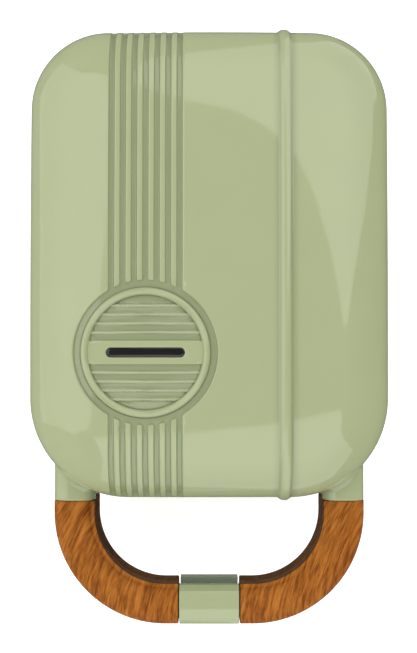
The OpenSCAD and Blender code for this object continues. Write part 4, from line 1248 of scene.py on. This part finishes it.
def wood_mat(name):
    """Lacquered wood: streaky grain that leans across the handle, pores and slow colour drift, with painted shade on
    the grips' inner walls.
    """
    m, nt, b = new_mat(name)
    c = obj_coords(nt)
    sep = node(nt, "ShaderNodeSeparateXYZ")
    nt.links.new(c, sep.inputs[0])
    x, y, z = sep.outputs
    # the grain's lines lean by x = 4.4 y2 + 1.26 y
    lean = math_node(nt, "ADD", math_node(nt, "MULTIPLY", math_node(nt, "MULTIPLY", y, y), 4.4), math_node(nt, "MULTIPLY", y, 1.26))
    across = math_node(nt, "ADD", math_node(nt, "SUBTRACT", x, lean), math_node(nt, "MULTIPLY", z, 0.25))

    def grain_space(ky, kz):
        cb = node(nt, "ShaderNodeCombineXYZ")
        nt.links.new(across, cb.inputs[0])
        nt.links.new(math_node(nt, "MULTIPLY", y, ky), cb.inputs[1])
        nt.links.new(math_node(nt, "MULTIPLY", z, kz), cb.inputs[2])
        return cb.outputs[0]

    grain = noise(nt, grain_space(0.12, 0.2), 980.0, 5.0, 0.62, 0.15)
    broad = noise(nt, grain_space(0.14, 0.18), 260.0, 3.0, 0.5, 0.3)
    drift = noise(nt, c, 38.0, 2.0, 0.5)
    mixa = node(nt, "ShaderNodeMix", data_type="RGBA", blend_type="MULTIPLY")
    mixa.inputs[0].default_value = 0.62
    col = ramp(nt, grain.outputs[0], [(0.34, WOOD_RAMP[0]), (0.45, WOOD_RAMP[1]), (0.54, WOOD_RAMP[2]), (0.68, WOOD_RAMP[3])])
    tone = ramp(nt, broad.outputs[0], [(0.34, (0.62, 0.54, 0.48)), (0.6, (1.0, 1.0, 1.0))])
    nt.links.new(col, mixa.inputs[6])
    nt.links.new(tone, mixa.inputs[7])
    mixb = node(nt, "ShaderNodeMix", data_type="RGBA", blend_type="MULTIPLY")
    mixb.inputs[0].default_value = 0.5
    nt.links.new(mixa.outputs[2], mixb.inputs[6])
    nt.links.new(ramp(nt, drift.outputs[0], [(0.3, (0.84, 0.78, 0.74)), (0.7, (1.0, 1.0, 1.0))]), mixb.inputs[7])
    # painted shade: the grips' inner walls, facing the body, are darkened
    nt.links.new(shaded(nt, mixb.outputs[2], "inner_wall_shade", (0.33, 0.36, 0.32)), b.inputs["Base Color"])
    pn = noise(nt, grain_space(0.06, 0.15), 1700.0, 2.0, 0.5)
    mr = nt.nodes.new("ShaderNodeMapRange")
    mr.inputs["From Min"].default_value, mr.inputs["From Max"].default_value = 0.3, 0.7
    mr.inputs["To Min"].default_value, mr.inputs["To Max"].default_value = 0.55, 0.42
    nt.links.new(pn.outputs[0], mr.inputs["Value"])
    nt.links.new(mr.outputs[0], b.inputs["Roughness"])
    nt.links.new(bump(nt, pn.outputs[0], 0.25, 0.0001), b.inputs["Normal"])
    b.inputs["Specular IOR Level"].default_value = 0.06
    return m


def window_mat(name):
    """Smoked lens, near black, with two faint painted lamp glows under it."""
    m, nt, b = new_mat(name)
    c = obj_coords(nt)
    sep = node(nt, "ShaderNodeSeparateXYZ")
    nt.links.new(c, sep.inputs[0])
    n = noise(nt, c, 220.0, 3.0, 0.5)
    base = ramp(nt, n.outputs[0], [(0.3, (0.0038, 0.0038, 0.0040)), (0.7, (0.0058, 0.0058, 0.0062))])
    mr = nt.nodes.new("ShaderNodeMapRange")
    mr.inputs["From Min"].default_value, mr.inputs["From Max"].default_value = -0.0445, -0.009
    nt.links.new(sep.outputs["X"], mr.inputs["Value"])
    glow = ramp(nt, mr.outputs[0], [(0.0, (0, 0, 0)), (0.2, (0.02, 0.0, 0.0)), (0.42, (0.0, 0.0, 0.0)), (0.5, (0.0, 0.0, 0.0)), (0.72, (0.02, 0.002, 0.0)), (1.0, (0, 0, 0))])
    # painted glint of the lamps: a thin red line a little off the middle
    dy = math_node(nt, "ABSOLUTE", math_node(nt, "ADD", sep.outputs["Y"], 0.01225))
    dx = math_node(nt, "ABSOLUTE", math_node(nt, "ADD", sep.outputs["X"], 0.0267))
    line = math_node(nt, "MULTIPLY", math_node(nt, "LESS_THAN", dy, 0.00022), math_node(nt, "LESS_THAN", dx, 0.011))
    add = node(nt, "ShaderNodeMix", data_type="RGBA", blend_type="ADD")
    add.inputs[0].default_value = 0.15
    nt.links.new(base, add.inputs[6])
    nt.links.new(glow, add.inputs[7])
    lit = node(nt, "ShaderNodeMix", data_type="RGBA", blend_type="MIX")
    nt.links.new(math_node(nt, "MULTIPLY", line, 0.35), lit.inputs[0])
    nt.links.new(add.outputs[2], lit.inputs[6])
    lit.inputs[7].default_value = (0.055, 0.012, 0.01, 1.0)
    nt.links.new(lit.outputs[2], b.inputs["Base Color"])
    b.inputs["Roughness"].default_value = 0.12
    return m


def coating_mat(name):
    """Non-stick coating: near black with a fine mineral speckle, satin."""
    m, nt, b = new_mat(name)
    c = obj_coords(nt)
    v = node(nt, "ShaderNodeTexVoronoi", feature="F1")
    v.inputs["Scale"].default_value = 900.0
    nt.links.new(c, v.inputs["Vector"])
    n = noise(nt, c, 1400.0, 2.0, 0.5)
    dots = ramp(nt, v.outputs["Distance"], [(0.0, (0.23, 0.23, 0.235)), (0.14, (0.05, 0.05, 0.053)), (0.2, (0.022, 0.022, 0.024))])
    body = ramp(nt, n.outputs[0], [(0.35, (0.6, 0.6, 0.6)), (0.65, (1.0, 1.0, 1.0))])
    mx = node(nt, "ShaderNodeMix", data_type="RGBA", blend_type="MULTIPLY")
    mx.inputs[0].default_value = 0.8
    nt.links.new(dots, mx.inputs[6])
    nt.links.new(body, mx.inputs[7])
    nt.links.new(mx.outputs[2], b.inputs["Base Color"])
    b.inputs["Roughness"].default_value = 0.42
    nt.links.new(bump(nt, n.outputs[0], 0.12, 0.00006), b.inputs["Normal"])
    b.inputs["Specular IOR Level"].default_value = 0.5
    return m


def steel_mat(name, base, rough, stretch=(1, 1, 1), scale=900.0):
    """Plated or brushed metal with fine directional scratches."""
    m, nt, b = new_mat(name)
    c = obj_coords(nt)
    mp = node(nt, "ShaderNodeMapping", vector_type="POINT")
    mp.inputs["Scale"].default_value = stretch
    nt.links.new(c, mp.inputs["Vector"])
    n = noise(nt, mp.outputs[0], scale, 4.0, 0.6)
    lo = tuple(v * 0.86 for v in base)
    nt.links.new(ramp(nt, n.outputs[0], [(0.3, lo), (0.7, base)]), b.inputs["Base Color"])
    mr = nt.nodes.new("ShaderNodeMapRange")
    mr.inputs["To Min"].default_value, mr.inputs["To Max"].default_value = rough * 0.7, rough * 1.3
    nt.links.new(n.outputs[0], mr.inputs["Value"])
    nt.links.new(mr.outputs[0], b.inputs["Roughness"])
    nt.links.new(bump(nt, n.outputs[0], 0.08, 0.00004), b.inputs["Normal"])
    b.inputs["Metallic"].default_value = 1.0
    return m


def sleeve_mat(name):
    """Braided glass-fibre sleeve."""
    m, nt, b = new_mat(name)
    c = obj_coords(nt)
    w = node(nt, "ShaderNodeTexWave", wave_type="BANDS", bands_direction="DIAGONAL")
    w.inputs["Scale"].default_value = 420.0
    w.inputs["Distortion"].default_value = 0.6
    nt.links.new(c, w.inputs["Vector"])
    nt.links.new(ramp(nt, w.outputs["Color"], [(0.1, (0.52, 0.48, 0.38)), (0.8, (0.74, 0.71, 0.62))]), b.inputs["Base Color"])
    nt.links.new(bump(nt, w.outputs["Color"], 0.4, 0.0001), b.inputs["Normal"])
    b.inputs["Roughness"].default_value = 0.8
    return m


GREEN = (0.335, 0.372, 0.208)
WOOD_RAMP = [(0.164, 0.049, 0.0070), (0.280, 0.089, 0.0120), (0.370, 0.128, 0.0190), (0.460, 0.170, 0.032)]
# the green's last value is the tint of its painted shade
green = speckle_mat("green_plastic", GREEN, 0.012, 0.04, 0.008, 700.0, 0.012, 0.00002, hollow_shade=(0.79, 0.815, 0.81))
keeper = speckle_mat("keeper_plastic", (0.18, 0.222, 0.16), 0.03, 0.36, 0.04, 900.0, 0.04, 0.00003, spec=0.3)
black = speckle_mat("black_plastic", (0.022, 0.022, 0.024), 0.15, 0.42, 0.06, 1300.0, 0.12, 0.00006)
rubber = speckle_mat("foot_rubber", (0.03, 0.03, 0.031), 0.12, 0.72, 0.08, 1200.0, 0.2, 0.0001)
board = speckle_mat("circuit_board", (0.03, 0.13, 0.06), 0.1, 0.35, 0.05, 900.0)
lamp = speckle_mat("lamp_plastic", (0.5, 0.05, 0.03), 0.05, 0.15, 0.03, 400.0)
ceramic = speckle_mat("ceramic", (0.72, 0.69, 0.6), 0.05, 0.55, 0.06, 700.0, 0.15, 0.00008)
zinc = steel_mat("zinc_steel", (0.62, 0.63, 0.65), 0.3)
polished = steel_mat("polished_steel", (0.72, 0.73, 0.75), 0.16, (0.1, 1, 1))
tube = steel_mat("element_tube", (0.36, 0.34, 0.31), 0.38, (1, 0.1, 1))
alu = steel_mat("aluminium_sheet", (0.72, 0.73, 0.74), 0.34, (1, 0.08, 1))
coating = coating_mat("nonstick_coating")
wood = wood_mat("grip_wood")
smoked = window_mat("smoked_plastic")
sleeve = sleeve_mat("wire_sleeve")
BY_SLOT = {"green_plastic": green, "keeper_plastic": keeper, "black_plastic": black, "smoked_plastic": smoked, "lamp_plastic": lamp,
           "circuit_board": board, "nonstick_coating": coating, "element_tube": tube, "zinc_steel": zinc, "polished_steel": polished,
           "aluminium_sheet": alu, "grip_wood": wood, "foot_rubber": rubber, "ceramic": ceramic, "wire_sleeve": sleeve}
for sub in frame["record"]["subparts"]:
    ob = frame["nodes"][sub["node"]]
    ob.data.materials.clear()
    ob.data.materials.append(BY_SLOT[sub["material_slot"]])

# ---------------------------------------------------------------- pieces

make_lid(green)
make_bead(green)
make_badge(green)
make_window(smoked)
make_base(green)
for s, tag in ((-1, "left"), (1, "right")):
    make_arm("lid_arm_" + tag, s, 1, green, "lid")
    make_arm("base_arm_" + tag, s, -1, green, "base")
    make_grip("grip_upper_" + tag + "_smooth", s, 1, wood, "lid", "grip_upper_" + tag)
    make_grip("grip_lower_" + tag + "_smooth", s, -1, wood, "base", "grip_lower_" + tag)
make_plate("upper_plate_smooth", 1, coating, "lid", "upper_plate")
make_plate("lower_plate_smooth", -1, coating, "base", "lower_plate")
make_latch(green)
make_spring(polished)
make_lead(sleeve)

# ---------------------------------------------------------------- stage, light, camera

def disc(name, radius, cy):
    rings = [[[r * math.cos(a), cy + r * math.sin(a), 0.0] for a in np.linspace(0, 2 * math.pi, 96, endpoint=False)] for r in np.linspace(1, radius, 20)]
    g = np.array(rings)
    return build(name, g.reshape(-1, 3), grid_faces(20, 96, close_v=True) + [list(range(96))])


floor = disc("floor", 2190, 27)
fm, fnt, fb = new_mat("floor_paper")
fn = noise(fnt, obj_coords(fnt), 6.0, 3.0, 0.5)
fnt.links.new(ramp(fnt, fn.outputs[0], [(0.3, (0.88, 0.88, 0.88)), (0.7, (0.9, 0.9, 0.9))]), fb.inputs["Base Color"])
fb.inputs["Roughness"].default_value = 0.9
fb.inputs["Specular IOR Level"].default_value = 0.1
fb.inputs["Emission Color"].default_value = (1, 1, 1, 1)
fb.inputs["Emission Strength"].default_value = 0.5
floor.data.materials.append(fm)
floor.visible_glossy = False

world = bpy.data.worlds.new("studio")
world.use_nodes = True
bpy.context.scene.world = world
world.node_tree.nodes["Background"].inputs[0].default_value = (1, 1, 1, 1)
world.node_tree.nodes["Background"].inputs[1].default_value = 1.0

# A light tent: three cloth panels round the object with dim gaps between them and a dim opening overhead.
# Its outlines are (angle from the zenith, bearing) in degrees.
TENT_R, TENT_C = 2.2, (0.0, 0.027, 0.085)
PANELS = [
    [(93.7, 132.6), (23.5, 121.1), (20.7, 125.7), (15.7, 141.3), (13.5, 162.2), (17.1, -146.7), (41.4, -147), (103.6, -162), (102.1, -175.1), (103, 174.6), (108.5, 161.7), (104.9, 154.7)],
    [(22.1, 114.2), (50.6, 98), (92.2, 84), (113.9, 68.7), (115.5, 42.4), (105.3, 20.2), (85, 12.1), (64.2, 9.2), (37.7, 6.3), (16.4, -3.3), (15.7, 21.8), (16.4, 40.4), (17.1, 51.8), (17.4, 66.4), (17.6, 80.6), (18.5, 99.7), (21.6, 114.8)],
    [(17.5, -143.2), (15.9, -139.8), (10.4, -107.5), (12.7, -45.5), (17.6, -26.8), (80, -38.2), (102.5, -58), (110.0, -84.3), (99.5, -92), (93.0, -113.3)],
]


def polar(zen, az):
    return zen * math.cos(math.radians(az)), zen * math.sin(math.radians(az))


def glow_mat(name, strength, stops, sides=None):
    m = bpy.data.materials.new(name)
    m.use_nodes = True
    nt = m.node_tree
    nt.nodes.clear()
    out = nt.nodes.new("ShaderNodeOutputMaterial")
    e = nt.nodes.new("ShaderNodeEmission")
    e.inputs["Strength"].default_value = strength
    sep = node(nt, "ShaderNodeSeparateXYZ")
    nt.links.new(obj_coords(nt), sep.inputs[0])
    mr = nt.nodes.new("ShaderNodeMapRange")
    mr.inputs["From Min"].default_value, mr.inputs["From Max"].default_value = TENT_C[2], TENT_C[2] + TENT_R
    nt.links.new(sep.outputs["Z"], mr.inputs["Value"])
    col = ramp(nt, mr.outputs[0], [(p, (v, v, v)) for p, v in stops])
    if sides:
        mx = nt.nodes.new("ShaderNodeMapRange")
        mx.inputs["From Min"].default_value, mx.inputs["From Max"].default_value = -TENT_R, TENT_R
        nt.links.new(sep.outputs["X"], mx.inputs["Value"])
        mul = node(nt, "ShaderNodeMix", data_type="RGBA", blend_type="MULTIPLY")
        mul.inputs[0].default_value = 1.0
        nt.links.new(col, mul.inputs[6])
        nt.links.new(ramp(nt, mx.outputs[0], [(p, (v, v, v)) for p, v in sides]), mul.inputs[7])
        col = mul.outputs[2]
    nt.links.new(col, e.inputs["Color"])
    nt.links.new(e.outputs[0], out.inputs[0])
    return m


def light_tent():
    pts = [(0.0, 0.0)]
    for k in range(1, 43):
        n = max(6, int(2 * math.pi * k))
        pts += [(4.0 * k * math.cos(2 * math.pi * i / n), 4.0 * k * math.sin(2 * math.pi * i / n)) for i in range(n)]
    loops = []
    for pan in PANELS:
        ring = []
        for (z0, a0), (z1, a1) in zip(pan, pan[1:] + pan[:1]):
            p, q = np.array(polar(z0, a0)), np.array(polar(z1, a1))
            n = max(1, int(np.linalg.norm(q - p) / 5))
            if min(z0, z1) > 92:
                da = (a1 - a0 + 180) % 360 - 180
                ring += [polar(z0 + (z1 - z0) * t, a0 + da * t) for t in np.linspace(0, 1, n + 1)[:-1]]
            else:
                ring += [tuple(p + (q - p) * t) for t in np.linspace(0, 1, n + 1)[:-1]]
        loops.append(np.array(ring))
    rim = [polar(174, a) for a in np.arange(0, 360, 4)]
    v, f = cdt([p for p in pts if math.hypot(*p) < 171], [rim], [], [list(map(tuple, np.vstack([l, l[:1]]))) for l in loops])
    c = v[f].mean(axis=1)
    lit = np.zeros(len(f), bool)
    for l in loops:
        lit |= inside(c, l)
    zen = np.radians(np.hypot(v[:, 0], v[:, 1]))
    az = np.arctan2(v[:, 1], v[:, 0])
    ball = 1000 * (np.array(TENT_C) + TENT_R * np.column_stack([np.sin(zen) * np.cos(az), np.sin(zen) * np.sin(az), np.cos(zen)]))
    for tag, sel, m in (("lit", lit, glow_mat("tent_cloth", 2.06, TENT_STOPS)), ("gap", ~lit, glow_mat("tent_gap", 0.6, [(0.0, 0.6), (0.3, 1.0), (1.0, 0.9)], [(0.1, 0.9), (0.35, 0.46), (0.5, 0.4), (0.65, 0.34), (0.9, 0.13)]))):
        ob = build("tent_" + tag, ball, f[sel].tolist())
        ob.data.materials.append(m)
        ob.visible_camera = False


TENT_STOPS = [(0.0, 0.62), (0.5, 0.8), (0.85, 1.0)]
light_tent()

cam = bpy.data.cameras.new("camera")
cam.sensor_fit = "AUTO"
cam.sensor_width = 36.0
cam.lens = 1360.0 / 653.0 * 36.0
cam.clip_start, cam.clip_end = 0.01, 20.0
cam_ob = bpy.data.objects.new("camera", cam)
bpy.context.scene.collection.objects.link(cam_ob)
cam_ob.location = (-0.000283, -0.019537, 0.653615)
cam_ob.rotation_euler = (math.radians(1.927), 0.0, 0.0)
bpy.context.scene.camera = cam_ob
bpy.context.scene.view_settings.view_transform = "Standard"
